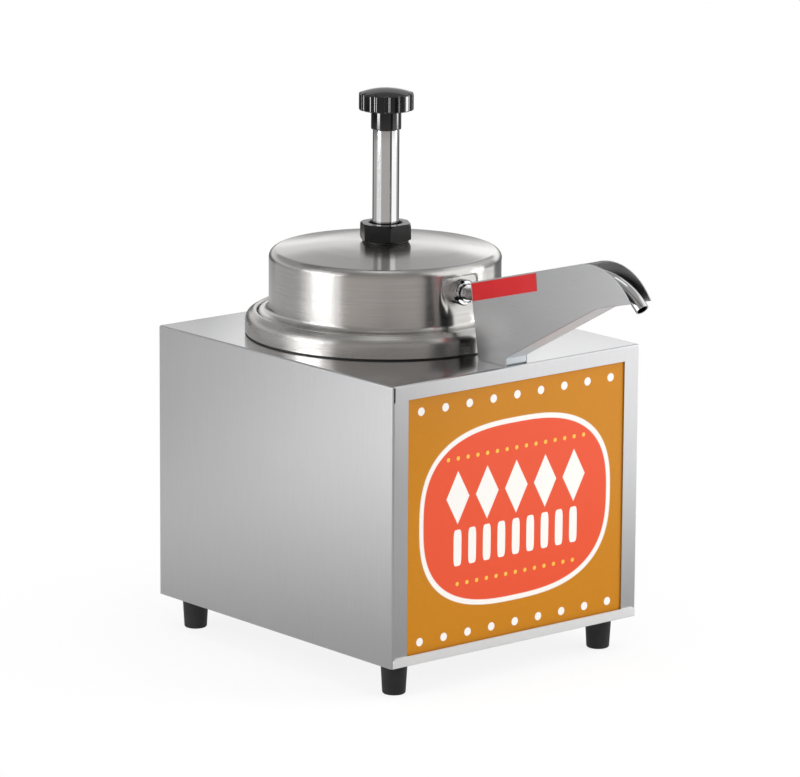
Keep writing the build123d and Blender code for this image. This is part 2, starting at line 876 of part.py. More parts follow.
def make_switch_rocker():
    """Rocker with two finger faces that meet in a shallow valley, shown tipped to off."""
    start = (controls_x - rocker_half_width, rocker_pivot_y, switch_z)
    rocker = rod_along("x", rocker_radius, start, 2 * rocker_half_width)
    reach = 12.0
    valley = 1.8
    above = 20.0
    cutter_half = 8.0
    rise = reach * tan(radians(rocker_tilt))
    removed = Polyline(
        (-reach, valley + rise),
        (0, valley),
        (reach, valley + rise),
        (reach, above),
        (-reach, above),
        close=True,
    )
    cutter_start = (controls_x + cutter_half, rocker_pivot_y, switch_z)
    finger_faces = Plane(origin=cutter_start, x_dir=(0, 0, 1), z_dir=(-1, 0, 0))
    rocker -= finger_faces * extrude(make_face(removed), 2 * cutter_half)
    pivot = Pos(0, rocker_pivot_y, switch_z)
    return pivot * Rot(rocker_tilt, 0, 0) * pivot.inverse() * rocker


def make_pilot_lamp():
    """Barrel and bright bezel of the pilot light."""
    barrel_length = 20.0
    bezel_radius = 7.0
    bezel_height = 1.6
    bezel_rounding = 0.8
    pocket_radius = 3.9
    pocket_depth = 8.0
    barrel_start = (controls_x, panel_face_y - barrel_length, lamp_z)
    pocket_start = (controls_x, panel_face_y - pocket_depth, lamp_z)
    bezel = rod_along("y", bezel_radius, (controls_x, panel_face_y, lamp_z), bezel_height)
    lamp = rod_along("y", lamp_barrel_radius, barrel_start, barrel_length)
    lamp += round_end(bezel, bezel_rounding)
    return lamp - rod_along("y", pocket_radius, pocket_start, pocket_depth + bezel_height + overcut)


def make_pilot_lens():
    """Domed amber lens pressed into the bezel."""
    radius = 3.85
    root = 6.0
    length = 10.0
    rounding = 2.6
    return round_end(rod_along("y", radius, (controls_x, panel_face_y - root, lamp_z), length), rounding)


def make_strain_relief():
    """Cord gland: hexagon and tapered nose outside, barrel and nut inside."""
    hexagon_radius = 11.0
    outer_hexagon = 4.0
    inner_hexagon = 5.0
    barrel_root = 12.0
    nose_root = 0.1
    nose_length = 9.0
    nose_radius = 9.0
    nose_tip_radius = 6.4
    nose_rounding = 1.0
    nut_y = rear_y - inner_hexagon - thermostat_gap
    barrel_start = (gland_x, rear_y - barrel_root, gland_z)
    gland = rod_along("y", gland_barrel_radius, barrel_start, barrel_root + 2 * sheet)
    outside = Plane(origin=(gland_x, panel_face_y, gland_z), x_dir=(1, 0, 0), z_dir=(0, 1, 0))
    gland += outside * hexagon(hexagon_radius, 0, outer_hexagon)
    nose = Cone(nose_radius, nose_tip_radius, nose_length, align=bottom)
    gland += round_end(outside * Pos(0, 0, outer_hexagon - nose_root) * nose, nose_rounding)
    inside = Plane(origin=(gland_x, nut_y, gland_z), x_dir=(1, 0, 0), z_dir=(0, 1, 0))
    gland += inside * hexagon(hexagon_radius, 0, inner_hexagon)
    bore_start = rear_y - barrel_root - overcut
    bore_length = panel_face_y + outer_hexagon + nose_length + overcut - bore_start
    return gland - rod_along("y", gland_bore, (gland_x, bore_start, gland_z), bore_length)


def make_terminal_block():
    """Six-way block where the supply meets the inner leads."""
    block_x = (60.0, 108.0)
    block_y = (108.0, 122.0)
    block_z = (76.0, 90.0)
    ways = 6
    pitch = 8.0
    well_radius_each = 2.4
    well_floor = 80.0
    block = slab(block_x, block_y, block_z)
    for way in range(ways):
        start = (block_x[0] + pitch * (way + 0.5), sum(block_y) / 2, well_floor)
        block -= rod_along("z", well_radius_each, start, block_z[1] - well_floor + overcut)
    return block


# Jar

def make_food_jar():
    """Drawn inset jar that hangs in the well by its flat rim."""
    rim_bend = 1.5
    centre_line = [
        (jar_rim_radius, jar_rim_z),
        (jar_radius, jar_rim_z),
        (jar_radius, jar_floor_z),
        (0, jar_floor_z),
    ]
    return turned(bent_strip(centre_line, [rim_bend, floor_bend]))


# Lid and pump

def make_lid():
    """Spun lid: hem, flange, wall and domed crown, with a flat pressed in for the discharge fitting."""
    dome_radius = 0.55 * lid_wall_radius
    dome_drop = 1.4
    neck_play = 0.4
    hem_bend = 1.2
    flange_bend = 4.5
    shoulder_bend = 5.5
    crown_bend = 130.0
    centre_line = [
        (lid_hem_radius, jar_rim_z + half_sheet),
        (lid_hem_radius, lid_flange_z),
        (lid_wall_radius, lid_flange_z),
        (lid_wall_radius, lid_shoulder_z),
        (dome_radius, lid_crown_z - dome_drop),
        (neck_radius + neck_play, lid_crown_z),
    ]
    lid = turned(bent_strip(centre_line, [hem_bend, flange_bend, shoulder_bend, crown_bend]))

    # the flat: a backing sheet inside the wall, and the wall in front of it pressed away
    pressed_corner = 3.0
    backing_corner = 4.0
    backing_reach = 4.0
    half_pad = lid_pad_width / 2
    outside_y = pad_y - 2 * lid_pad_depth - 2 * overcut
    pressed = slab((-half_pad, half_pad), (outside_y, pad_y), (pad_low_z, pad_top_z))
    pressed = fillet(pressed.edges().filter_by(Axis.Y), pressed_corner)
    backing = slab(
        (-half_pad - sheet, half_pad + sheet),
        (pad_y - backing_reach, pad_y + sheet),
        (pad_low_z - sheet, pad_top_z + sheet),
    )
    backing = fillet(backing.edges().filter_by(Axis.Y), backing_corner)
    wall_outside = lid_wall_radius + half_sheet
    straight_top = lid_shoulder_z - 4.0
    inside_wall = pump_axis * ring(wall_outside, 0, lid_flange_z, straight_top)
    lid += backing & inside_wall
    lid -= pressed
    bore_play = 0.6
    bore_reach = 8.0
    bore_start = (0, pad_y - bore_reach, fitting_z)
    return lid - rod_along("y", discharge_radius + bore_play, bore_start, 2 * bore_reach)


def make_lid_gasket():
    """Soft ring between the cylinder's shoulder and the lid."""
    thickness = 0.8
    outer = cylinder_radius + 1.5
    return pump_axis * ring(outer, neck_radius + hole_play, cylinder_top_z, cylinder_top_z + thickness)


def make_nut_washer():
    """Black washer below the lock nut."""
    outer = 16.6
    low_z = lid_crown_z + 0.6
    return pump_axis * ring(outer, neck_radius + hole_play, low_z, nut_bottom_z)


def make_lock_nut():
    """Moulded hexagon nut with chamfered corners, a slight draft and a countersunk top."""
    corner_radius = 19.5
    draft = 1.5
    top_chamfer = (1.0, 1.8)
    low_chamfer = (1.4, 2.4)
    mouth_radius = 12.4
    mouth_start = 0.2
    root_radius = neck_radius - 0.6
    nut = Pos(0, 0, nut_bottom_z) * extrude(RegularPolygon(corner_radius, 6), lock_nut_height, taper=draft)
    crown = Pos(0, 0, nut_bottom_z) * Cylinder(corner_radius, lock_nut_height, align=bottom)
    crown = chamfer(crown.edges().sort_by(Axis.Z)[-1], length=top_chamfer[0], length2=top_chamfer[1])
    crown = chamfer(crown.edges().sort_by(Axis.Z)[0], length=low_chamfer[0], length2=low_chamfer[1])
    nut = nut & crown
    nut -= ring(neck_radius + running_fit, 0, nut_bottom_z - overcut, neck_top_z + mouth_start)
    nut -= Pos(0, 0, neck_top_z) * Cone(root_radius, mouth_radius, nut_top_z - neck_top_z, align=bottom)
    return pump_axis * nut


def make_pump_cylinder():
    """Pump cylinder with a shoulder below the lid and a neck that passes through it and guides the tube."""
    shoulder_reach = 2.5
    shoulder_depth = 5.0
    cap_depth = 4.0
    body = ring(cylinder_radius, 0, cylinder_foot_z, cylinder_top_z)
    body += ring(cylinder_radius + shoulder_reach, 0, cylinder_top_z - shoulder_depth, cylinder_top_z)
    body += ring(neck_radius, 0, cylinder_top_z, neck_top_z)
    body -= ring(cylinder_bore, 0, cylinder_foot_z - overcut, cylinder_top_z - cap_depth)
    body -= ring(tube_radius + running_fit, 0, cylinder_foot_z, neck_top_z + overcut)
    return pump_axis * body


def ball_height(seat_z, ball_radius, hole_radius):
    """Centre of a ball that stands just clear of a round seat's edge."""
    return seat_z + sqrt(ball_radius**2 - hole_radius**2) + ball_rest_gap


inlet_ball_z = ball_height(inlet_seat_z, inlet_ball_radius, inlet_hole)
outlet_ball_z = ball_height(outlet_seat_z, outlet_ball_radius, outlet_hole)


def make_valve_body():
    """Foot of the pump: the inlet seat below the cylinder, and an arm to the outlet seat below the riser."""
    foot_radius = cylinder_radius + 1.5
    spigot_height = 3.0
    arm_half_width = 8.0
    arm_low_z = valve_floor_z + 11.0
    boss_radius = 8.6
    boss_height = 9.0
    inlet_chamber = 7.5
    outlet_chamber = 6.2
    gallery_radius = 3.0
    gallery_drop = 3.4
    outlet_port_drop = 6.5
    riser_shoulder = 0.6
    outlet = Pos(0, outlet_y, 0)
    arm_high_z = cylinder_foot_z - overcut
    spigot_top = cylinder_foot_z + spigot_height
    body = pump_axis * ring(foot_radius, 0, valve_floor_z, cylinder_foot_z)
    body += pump_axis * ring(cylinder_bore - running_fit, 0, arm_high_z, spigot_top)
    body += slab((-arm_half_width, arm_half_width), (outlet_y, axis_y), (arm_low_z, arm_high_z))
    body += outlet * ring(boss_radius, 0, arm_low_z, riser_foot_z + boss_height)

    socket_top = valve_floor_z + suction_socket
    body -= pump_axis * ring(suction_radius + seat_fit, 0, valve_floor_z - overcut, socket_top)
    body -= pump_axis * ring(inlet_hole, 0, valve_floor_z, inlet_seat_z)
    body -= pump_axis * ring(inlet_chamber, 0, inlet_seat_z, spigot_top + overcut)
    gallery_start = (0, outlet_y, outlet_seat_z - gallery_drop)
    body -= rod_along("y", gallery_radius, gallery_start, axis_y - outlet_y)
    body -= outlet * ring(outlet_hole, 0, outlet_seat_z - outlet_port_drop, outlet_seat_z)
    body -= outlet * ring(outlet_chamber, 0, outlet_seat_z, riser_foot_z - riser_shoulder)
    riser_low = riser_foot_z - overcut
    body -= outlet * ring(discharge_radius + seat_fit, 0, riser_low, riser_foot_z + boss_height + overcut)
    return body


def make_suction_tube():
    """Dip tube from the inlet valve to just above the jar's floor, cut on a slant at its foot."""
    floor_clearance = 7.0
    slant = 18.0
    low_z = jar_floor_z + floor_clearance
    tube = ring(suction_radius, suction_radius - tube_wall, low_z, valve_floor_z + suction_socket)
    below = (Align.CENTER, Align.CENTER, Align.MAX)
    cutter = Box(4 * suction_radius, 4 * suction_radius, 2 * suction_radius, align=below)
    return pump_axis * (tube - Pos(0, 0, low_z) * Rot(slant, 0, 0) * cutter)


def make_ball(y, z, ball_radius):
    """A check ball on the cabinet's middle line."""
    return Pos(0, y, z) * Sphere(ball_radius)


def make_ball_retainer():
    """Cross pin that keeps the inlet ball in its chamber."""
    half_length = 7.4
    clearance = 0.4
    pin_z = inlet_ball_z + inlet_ball_radius + ball_lift + clearance + retainer_radius
    return rod_along("x", retainer_radius, (-half_length, axis_y, pin_z), 2 * half_length)


def make_return_spring():
    """Open-coiled compression spring between the valve body and the piston."""
    low_z = cylinder_foot_z + 3.1
    high_z = piston_low_z - 0.1
    wire = 0.8
    wire_sides = 6
    coil_radius = 11.8
    coils = 9
    travel = high_z - low_z - 2 * wire
    path = Helix(pitch=travel / coils, height=travel, radius=coil_radius)
    section = Plane(origin=path @ 0, z_dir=path % 0) * RegularPolygon(wire, wire_sides)
    coil = sweep(section, path=path, is_frenet=True)
    return pump_axis * Pos(0, 0, low_z + wire) * coil


def make_piston():
    """Piston with one groove for its seal and a bore for the rod."""
    piston_play = 0.08
    piston = ring(cylinder_bore - piston_play, 0, piston_low_z, piston_high_z)
    piston -= ring(cylinder_bore + overcut, groove_radius, groove_low_z, groove_high_z)
    rod_bore = ring(rod_radius + seat_fit, 0, piston_low_z - overcut, piston_high_z + overcut)
    return pump_axis * (piston - rod_bore)


def make_piston_seal():
    """Plastic ring in the piston's groove, running on the cylinder's wall."""
    outer = cylinder_bore - running_fit
    inner = groove_radius + seat_fit
    return pump_axis * ring(outer, inner, groove_low_z + seat_fit, groove_high_z - seat_fit)


def make_plunger_rod():
    """Rod that ties knob, tube and piston together, with a nut below the piston."""
    nut_radius = 6.5
    nut_height = 4.0
    tail = 6.0
    knob_depth = 6.0
    rod = ring(rod_radius, 0, piston_low_z - tail, knob_head_z + knob_depth)
    rod += hexagon(nut_radius, piston_low_z - nut_height, piston_low_z)
    return pump_axis * rod


def make_plunger_tube():
    """Polished tube from the piston up into the knob's neck."""
    return pump_axis * ring(tube_radius, tube_radius - tube_wall, piston_high_z, knob_bottom_z + knob_socket)


def make_knob():
    """Lobed knob: a neck over the tube, a scalloped rim and a low domed top."""
    neck_radius_outside = 10.8
    neck_rounding = 1.1
    scallop_radius = 2.1
    scallop_offset = 0.7
    rod_depth = 6.0
    neck = ring(neck_radius_outside, 0, knob_bottom_z, knob_head_z + overcut)
    neck = fillet(neck.edges().sort_by(Axis.Z)[0], neck_rounding)
    rise = knob_top_z - knob_rim_z
    dome_radius = (knob_radius**2 + rise**2) / (2 * rise)
    head = ring(knob_radius, 0, knob_head_z, knob_top_z)
    head = head & Pos(0, 0, knob_top_z - dome_radius) * Sphere(dome_radius)
    for place in PolarLocations(knob_radius + scallop_offset, knob_lobes, start_angle=knob_phase):
        head -= place * ring(scallop_radius, 0, knob_head_z - overcut, knob_top_z + overcut)
    knob = neck + head
    knob -= ring(tube_radius + seat_fit, 0, knob_bottom_z - overcut, knob_bottom_z + knob_socket)
    return pump_axis * (knob - ring(rod_radius + seat_fit, 0, knob_bottom_z, knob_head_z + rod_depth))


# Discharge tube and heated spout

def spout_line_z(y):
    """Height of the discharge tube's straight run over the spout."""
    return fitting_z + (bend_start_y - y) * tan(radians(spout_rise))


def make_discharge_tube():
    """One bent tube: up from the outlet valve, out of the lid, over the spout and down to its nozzle."""
    riser_bend = 16.0
    fitting_bend = 24.0
    crest_bend = 52.0
    rise_slope = tan(radians(spout_rise))
    fall_slope = tan(radians(nozzle_fall))
    # the rising run and the falling run meet at the crest
    height_gap = nozzle_z - fitting_z - fall_slope * nozzle_end_y - rise_slope * bend_start_y
    crest_y = -height_gap / (fall_slope + rise_slope)
    points = [
        (0, outlet_y, riser_foot_z),
        (0, outlet_y, fitting_z),
        (0, bend_start_y, fitting_z),
        (0, crest_y, spout_line_z(crest_y)),
        (0, nozzle_end_y, nozzle_z),
    ]
    path = FilletPolyline(*points, radius=[riser_bend, fitting_bend, crest_bend])
    wall = Plane(origin=points[0], z_dir=(0, 0, 1)) * (Circle(discharge_radius) - Circle(discharge_bore))
    return sweep(wall, path=path)


def make_discharge_nut():
    """Slotted round nut against the lid's flat, with the threaded sleeve standing out of it."""
    radius = 9.3
    thickness = 7.4
    edge_chamfer = 0.9
    slot_count = 4
    slot_start_angle = 22.5
    slot_length = 5.6
    slot_width = 3.0
    slot_depth = 2.6
    recess_radius = 6.9
    recess_depth = 1.6
    sleeve_radius = 6.0
    sleeve_stand = 2.2
    nut = chamfer(Cylinder(radius, thickness, align=bottom).edges().sort_by(Axis.Z)[-1], edge_chamfer)
    slot = Box(slot_length, slot_width, slot_depth + overcut, align=bottom)
    for place in PolarLocations(radius, slot_count, start_angle=slot_start_angle):
        nut -= place * Pos(0, 0, thickness - slot_depth) * slot
    nut -= ring(recess_radius, 0, thickness - recess_depth, thickness + overcut)
    nut += ring(sleeve_radius, 0, 0, thickness + sleeve_stand)
    nut -= ring(discharge_radius + running_fit, 0, -overcut, thickness + sleeve_stand + overcut)
    outward = Plane(origin=(0, pad_y, fitting_z), x_dir=(1, 0, 0), z_dir=(0, -1, 0))
    return outward * nut


def make_discharge_washer():
    """Sealing washer inside the lid, behind the flat."""
    radius = 9.0
    thickness = 2.0
    washer_y = pad_y + sheet
    washer = rod_along("y", radius, (0, washer_y, fitting_z), thickness)
    bore_start = (0, washer_y - overcut, fitting_z)
    return washer - rod_along("y", discharge_radius + running_fit, bore_start, thickness + 2 * overcut)


def make_spout_housing():
    """Open-topped trough folded from sheet: two side plates with a web below, and a foot on the deck."""
    web_z = deck_z + half_sheet
    toe_height = 5.9
    corners = [
        (spout_crest_y, spout_crest_z),
        (spout_rear_y, spout_top_rear_z),
        (spout_foot_rear_y, deck_z),
        (spout_foot_front_y, deck_z),
        (spout_foot_front_y, deck_z + toe_height),
        (spout_belly_y, spout_belly_z),
        (spout_tip_y, spout_tip_z),
    ]
    front_round = ThreePointArc(corners[-1], (spout_shoulder_y, spout_shoulder_z), corners[0])
    plate = Plane.YZ * make_face([Line(a, b) for a, b in zip(corners, corners[1:])] + [front_round])
    housing = Pos(half_spout - sheet, 0, 0) * extrude(plate, sheet)
    housing += Pos(-half_spout, 0, 0) * extrude(plate, sheet)

    web_rear_y = spout_foot_rear_y - 0.4
    web_front_y = spout_foot_front_y + half_sheet
    web_end_y = -238.0
    web_end_rise = 4.2
    web_play = 0.1
    belly_play = 0.6
    web_inset = 0.01
    foot_bend = 1.2
    belly_bend = 6.0
    web_line = [
        (web_rear_y, web_z),
        (web_front_y, web_z),
        (web_front_y, deck_z + toe_height + web_play),
        (spout_belly_y, spout_belly_z + belly_play),
        (web_end_y, spout_belly_z + web_end_rise),
    ]
    web = Plane.YZ * bent_strip(web_line, [foot_bend, foot_bend, belly_bend])
    housing += extrude(web, half_spout - web_inset, both=True)
    for y in spout_screw_ys:
        housing -= deck_hole(y, spout_screw_radius + hole_play)
    return housing - deck_hole(spout_lead_y, spout_lead_radius)


def along_spout(y):
    """A frame on the discharge tube's line, with local X running out along the spout and Z square to it."""
    rise = radians(spout_rise)
    along = (0, -cos(rise), sin(rise))
    square_to_it = (0, sin(rise), cos(rise))
    return Plane(origin=(0, y, spout_line_z(y)), x_dir=along, z_dir=square_to_it)


def make_spout_saddle():
    """Aluminium block between the plates, grooved to cradle the discharge tube."""
    depth = 9.0
    side_play = 0.1
    groove_play = 0.35
    width = spout_width - 2 * sheet - side_play
    block = Pos(saddle_length / 2, 0, -depth) * Box(saddle_length, width, depth, align=bottom)
    groove = Cylinder(discharge_radius + groove_play, saddle_length + 2 * overcut, align=bottom)
    return along_spout(saddle_high_y) * (block - Pos(-overcut, 0, 0) * Rot(0, 90, 0) * groove)


def make_spout_heater():
    """Flat heating strip screwed below the saddle, with its two lead ends."""
    inset = 7.0
    strip_width = 12.0
    strip_thickness = 4.0
    strip_drop = 13.0
    lead_size = (9.5, 2.0, 1.5)
    lead_place = (2.5, 3.5, -11.0)
    length = saddle_length - 2 * inset
    strip = Pos(saddle_length / 2, 0, -strip_drop) * Box(length, strip_width, strip_thickness, align=bottom)
    for side in (-1, 1):
        strip += Pos(lead_place[0], side * lead_place[1], lead_place[2]) * Box(*lead_size)
    return along_spout(saddle_high_y) * strip


def make_spout_screws():
    """Screws down through the spout's foot into nuts below the deck."""
    head_radius = 3.6
    head_height = 2.0
    nut_radius = 4.0
    nut_height = 3.0
    tip_z = deck_z - 8.0
    seat_z = deck_z + sheet
    nut_top = deck_z - sheet
    screws = []
    for y in spout_screw_ys:
        screw = ring(head_radius, 0, seat_z, seat_z + head_height)
        screw += ring(spout_screw_radius, 0, tip_z, seat_z + overcut)
        screw += hexagon(nut_radius, nut_top - nut_height, nut_top)
        screws.append(Pos(0, y, 0) * screw)
    return screws


# Write every piece

pieces = {
    "housing_shell": make_housing_shell(),
    "base_pan": make_base_pan(),
    "rear_panel": make_rear_panel(),
    "rear_screws": make_rear_screws(),
    "foot_screws": make_foot_screws(),
    "sign_panel": make_sign_panel(),
    "sign_rails": make_sign_rails(),
    "light_tray": make_light_tray(),
    "led_strips": make_led_strips(),
    "led_driver": make_led_driver(),
    "well": make_well(),
    "well_gasket": make_well_gasket(),
    "well_clamp": make_well_clamp(),
    "well_studs": make_well_studs(),
    "heater_band": make_heater_band(),
    "heater_bolts": make_heater_bolts(),
    "insulation_wrap": make_insulation_wrap(),
    "insulation_disc": make_insulation_disc(),
    "high_limit": make_high_limit(),
    "thermostat_body": make_thermostat_body(),
    "thermostat_shaft": make_thermostat_shaft(),
    "thermostat_dial": make_thermostat_dial(),
    "dial_plate": make_dial_plate(),
    "switch_body": make_switch_body(),
    "switch_rocker": make_switch_rocker(),
    "pilot_lamp": make_pilot_lamp(),
    "pilot_lens": make_pilot_lens(),
    "strain_relief": make_strain_relief(),
    "terminal_block": make_terminal_block(),
    "spout_housing": make_spout_housing(),
    "spout_saddle": make_spout_saddle(),
    "spout_heater": make_spout_heater(),
    "spout_screws": make_spout_screws(),
    "food_jar": make_food_jar(),
    "lid": make_lid(),
    "lid_gasket": make_lid_gasket(),
    "nut_washer": make_nut_washer(),
    "lock_nut": make_lock_nut(),
    "pump_cylinder": make_pump_cylinder(),
    "valve_body": make_valve_body(),
    "suction_tube": make_suction_tube(),
    "ball_retainer": make_ball_retainer(),
    "return_spring": make_return_spring(),
    "discharge_tube": make_discharge_tube(),
    "discharge_nut": make_discharge_nut(),
    "discharge_washer": make_discharge_washer(),
    "inlet_ball": make_ball(axis_y, inlet_ball_z, inlet_ball_radius),
    "outlet_ball": make_ball(outlet_y, outlet_ball_z, outlet_ball_radius),
    "knob": make_knob(),
    "plunger_tube": make_plunger_tube(),
    "plunger_rod": make_plunger_rod(),
    "piston": make_piston(),
    "piston_seal": make_piston_seal(),
}
for name, (x, y) in foot_places.items():
    pieces[name] = make_foot(x, y)

os.makedirs("parts", exist_ok=True)
whole = []
for name, piece in pieces.items():
    solids = piece if isinstance(piece, list) else [piece]
    group = Compound(children=[solid for shape in solids for solid in shape.solids()])
    placed = Pos(0, origin_shift, 0) * group
    export_step(placed, f"parts/{name}.step")
    whole.append(placed)

limits = Compound(children=whole).bounding_box()
print("pieces", len(pieces))
print("low", limits.min, "high", limits.max, "shift", origin_shift)
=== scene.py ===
import json
from math import atan2, cos, pi, radians, sin, sqrt, tan

import bmesh
import bpy
from mathutils import Matrix, Vector


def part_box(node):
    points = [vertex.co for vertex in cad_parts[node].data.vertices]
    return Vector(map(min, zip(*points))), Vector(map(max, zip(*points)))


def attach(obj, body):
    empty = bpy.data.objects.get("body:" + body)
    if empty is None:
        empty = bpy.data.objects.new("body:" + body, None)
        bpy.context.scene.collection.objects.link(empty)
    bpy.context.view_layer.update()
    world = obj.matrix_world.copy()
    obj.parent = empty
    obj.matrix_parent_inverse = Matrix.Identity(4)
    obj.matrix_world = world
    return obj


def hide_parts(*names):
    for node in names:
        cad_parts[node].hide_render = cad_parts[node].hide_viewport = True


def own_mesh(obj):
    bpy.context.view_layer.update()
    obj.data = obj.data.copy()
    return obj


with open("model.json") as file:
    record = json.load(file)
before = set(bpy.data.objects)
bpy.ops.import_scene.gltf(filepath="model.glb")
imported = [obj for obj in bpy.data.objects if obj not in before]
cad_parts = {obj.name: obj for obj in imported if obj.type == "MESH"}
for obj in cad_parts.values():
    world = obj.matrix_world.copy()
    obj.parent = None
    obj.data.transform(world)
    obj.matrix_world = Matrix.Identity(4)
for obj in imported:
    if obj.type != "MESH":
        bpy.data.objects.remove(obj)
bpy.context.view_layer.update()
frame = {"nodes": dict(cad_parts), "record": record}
nodes = frame["nodes"]
behaviour = frame["record"]["behaviour"]
bodyOf = {node: body for body, members in behaviour["bodies"].items() for node in members}
slotOf = {part["node"]: part["material_slot"] for part in frame["record"]["subparts"]}
mm = 0.001

shellLow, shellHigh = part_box("housing_shell")
wellLow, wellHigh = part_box("well")
cabinetMiddle = (shellLow.y + shellHigh.y) / 2 / mm      # the cabinet's middle along Y, in mm
axisY = (wellLow.y + wellHigh.y) / 2 / mm                # the axis that pump, lid, jar and well share
deckTop = shellHigh.z / mm
pumpAxis = Vector((0, axisY * mm, 0))


def heights(node):
    # bottom and top of a CAD node, in mm
    return [corner.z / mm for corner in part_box(node)]


def say(stage):
    print("warmer:", stage, flush=True)


# small tools for modelling with the operators

def clearSelection():
    if bpy.context.mode != "OBJECT":
        toObject()
    bpy.ops.object.select_all(action="DESELECT")


def toEdit():
    bpy.ops.object.mode_set(mode="EDIT")


def toObject():
    bpy.ops.object.mode_set(mode="OBJECT")


def selectAll():
    # edit mode only
    bpy.ops.mesh.select_all(action="SELECT")


def makeActive(piece):
    clearSelection()
    bpy.context.view_layer.objects.active = piece
    piece.select_set(True)


def applyModifiers(piece):
    makeActive(piece)
    for modifier in list(piece.modifiers):
        bpy.ops.object.modifier_apply(modifier=modifier.name)


def newObject(name, data):
    thing = bpy.data.objects.new(name, data)
    bpy.context.scene.collection.objects.link(thing)
    return thing


def named(name):
    # the object that an operator has just made
    bpy.context.object.name = name
    return bpy.context.object


def pickVertices(test):
    # edit mode only: selects the vertices whose place passes the test
    bpy.ops.mesh.select_all(action="DESELECT")
    mesh = bmesh.from_edit_mesh(bpy.context.object.data)
    for vertex in mesh.verts:
        vertex.select_set(test(vertex.co))
    mesh.select_flush(True)
    bmesh.update_edit_mesh(bpy.context.object.data)


def drawLine(name, points, place, arcSteps=8, closed=False):
    # draws a line of edges, then rounds its corners; each point is (u, v, corner radius) in mm
    spots = [place(u, v) for u, v, radius in points]
    clearSelection()
    bpy.ops.mesh.primitive_plane_add(size=mm)
    piece = named(name)
    toEdit()
    selectAll()
    bpy.ops.mesh.merge(type="CENTER")
    bpy.ops.transform.translate(value=spots[0])
    for before, after in zip(spots, spots[1:]):
        bpy.ops.mesh.extrude_vertices_move(TRANSFORM_OT_translate={"value": after - before})
    if closed:
        pickVertices(lambda co: (co - spots[0]).length < 1e-6 or (co - spots[-1]).length < 1e-6)
        bpy.ops.mesh.edge_face_add()
    last = len(spots) - 1
    for i, (u, v, radius) in enumerate(points):
        if radius <= 0 or (not closed and i in (0, last)):
            continue
        before = (spots[i] - spots[i - 1]).normalized()
        after = (spots[(i + 1) % len(spots)] - spots[i]).normalized()
        reach = radius * mm * tan(before.angle(after) / 2)
        pickVertices(lambda co: (co - spots[i]).length < 1e-6)
        bpy.ops.mesh.bevel(offset=reach, segments=arcSteps, affect="VERTICES", clamp_overlap=False)
    return piece


def faceOut():
    selectAll()
    bpy.ops.mesh.normals_make_consistent(inside=False)
    toObject()


def closeSeams():
    selectAll()
    bpy.ops.mesh.remove_doubles(threshold=2e-6)
    faceOut()


def spinLine(piece, steps=192, axis=None):
    # turns the drawn line once round an upright axis and closes the seam and the poles
    selectAll()
    centre = pumpAxis if axis is None else axis
    bpy.ops.mesh.spin(steps=steps, angle=2 * pi, center=centre, axis=(0, 0, 1))
    closeSeams()


def fromAxis(u, v):
    # a point of a section that will be turned about the pump axis
    return Vector((u * mm, axisY * mm, v * mm))


def sideways(u, v):
    # a point seen from the side: u forward of the cabinet's middle, v up
    return Vector((0, (cabinetMiddle - u) * mm, v * mm))


def giveWall(piece, thickness, offset=0.0, insideMaterial=0):
    wall = piece.modifiers.new("wall", "SOLIDIFY")
    wall.thickness = thickness * mm
    wall.offset = offset
    wall.material_offset = insideMaterial
    wall.use_even_offset = True
    applyModifiers(piece)


def plateFrom(outline, name, aside, thickness):
    # a flat plate of this outline, seen from the side, standing that far to the right of the middle
    piece = drawLine(name, [(u, v, 0) for u, v in outline], sideways, closed=True)
    selectAll()
    bpy.ops.mesh.edge_face_add()
    bpy.ops.transform.translate(value=(aside * mm, 0, 0))
    toObject()
    giveWall(piece, thickness)
    return piece


def softenEdges(piece, width, angle=30, segments=2):
    edge = piece.modifiers.new("edge", "BEVEL")
    edge.width = width * mm
    edge.segments = segments
    edge.limit_method = "ANGLE"
    edge.angle_limit = radians(angle)
    edge.use_clamp_overlap = True
    applyModifiers(piece)


def smooth(piece, angle=32):
    makeActive(piece)
    bpy.ops.object.shade_smooth_by_angle(angle=radians(angle))


def evenNormals(piece):
    weigh = piece.modifiers.new("normals", "WEIGHTED_NORMAL")
    weigh.keep_sharp = True
    applyModifiers(piece)


def finishOff(piece, width=0.0, angle=30, segments=2):
    # soft edges where a width is given, then smooth shading that keeps flat faces flat
    if width:
        softenEdges(piece, width, angle, segments)
    smooth(piece)
    evenNormals(piece)


def cut(piece, tool, operation="DIFFERENCE"):
    knife = piece.modifiers.new("cut", "BOOLEAN")
    knife.operation = operation
    knife.solver = "EXACT"
    knife.object = tool
    applyModifiers(piece)
    bpy.data.objects.remove(tool)


def settle(piece):
    # puts the object's place, turn and scale into its mesh
    makeActive(piece)
    bpy.ops.object.transform_apply(location=True, rotation=True, scale=True)
    return piece


def dress(piece, material, node=None, beside=None, body=None, second=None):
    # gives a finished piece its materials, its body and the CAD node it stands for or lies beside
    places = [face.material_index for face in piece.data.polygons]
    piece.data.materials.clear()
    piece.data.materials.append(material)
    if second:
        piece.data.materials.append(second)
    piece.data.polygons.foreach_set("material_index", places)
    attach(piece, body or bodyOf[node or beside])
    if node:
        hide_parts(node)


def secondOnTop(piece, height):
    # faces that look up above this height take the second material
    for face in piece.data.polygons:
        if face.normal.z > 0.9 and face.center.z / mm > height:
            face.material_index = 1


def cleanCopy(node, name, edge=0.0, angle=30):
    # a merged copy of a CAD node, softly edged where a width is given
    piece = newObject(name, nodes[node].data.copy())
    makeActive(piece)
    toEdit()
    selectAll()
    bpy.ops.mesh.remove_doubles(threshold=2e-6)
    bpy.ops.mesh.dissolve_limited(angle_limit=radians(0.3))
    toObject()
    finishOff(piece, edge, angle)
    return piece


# materials

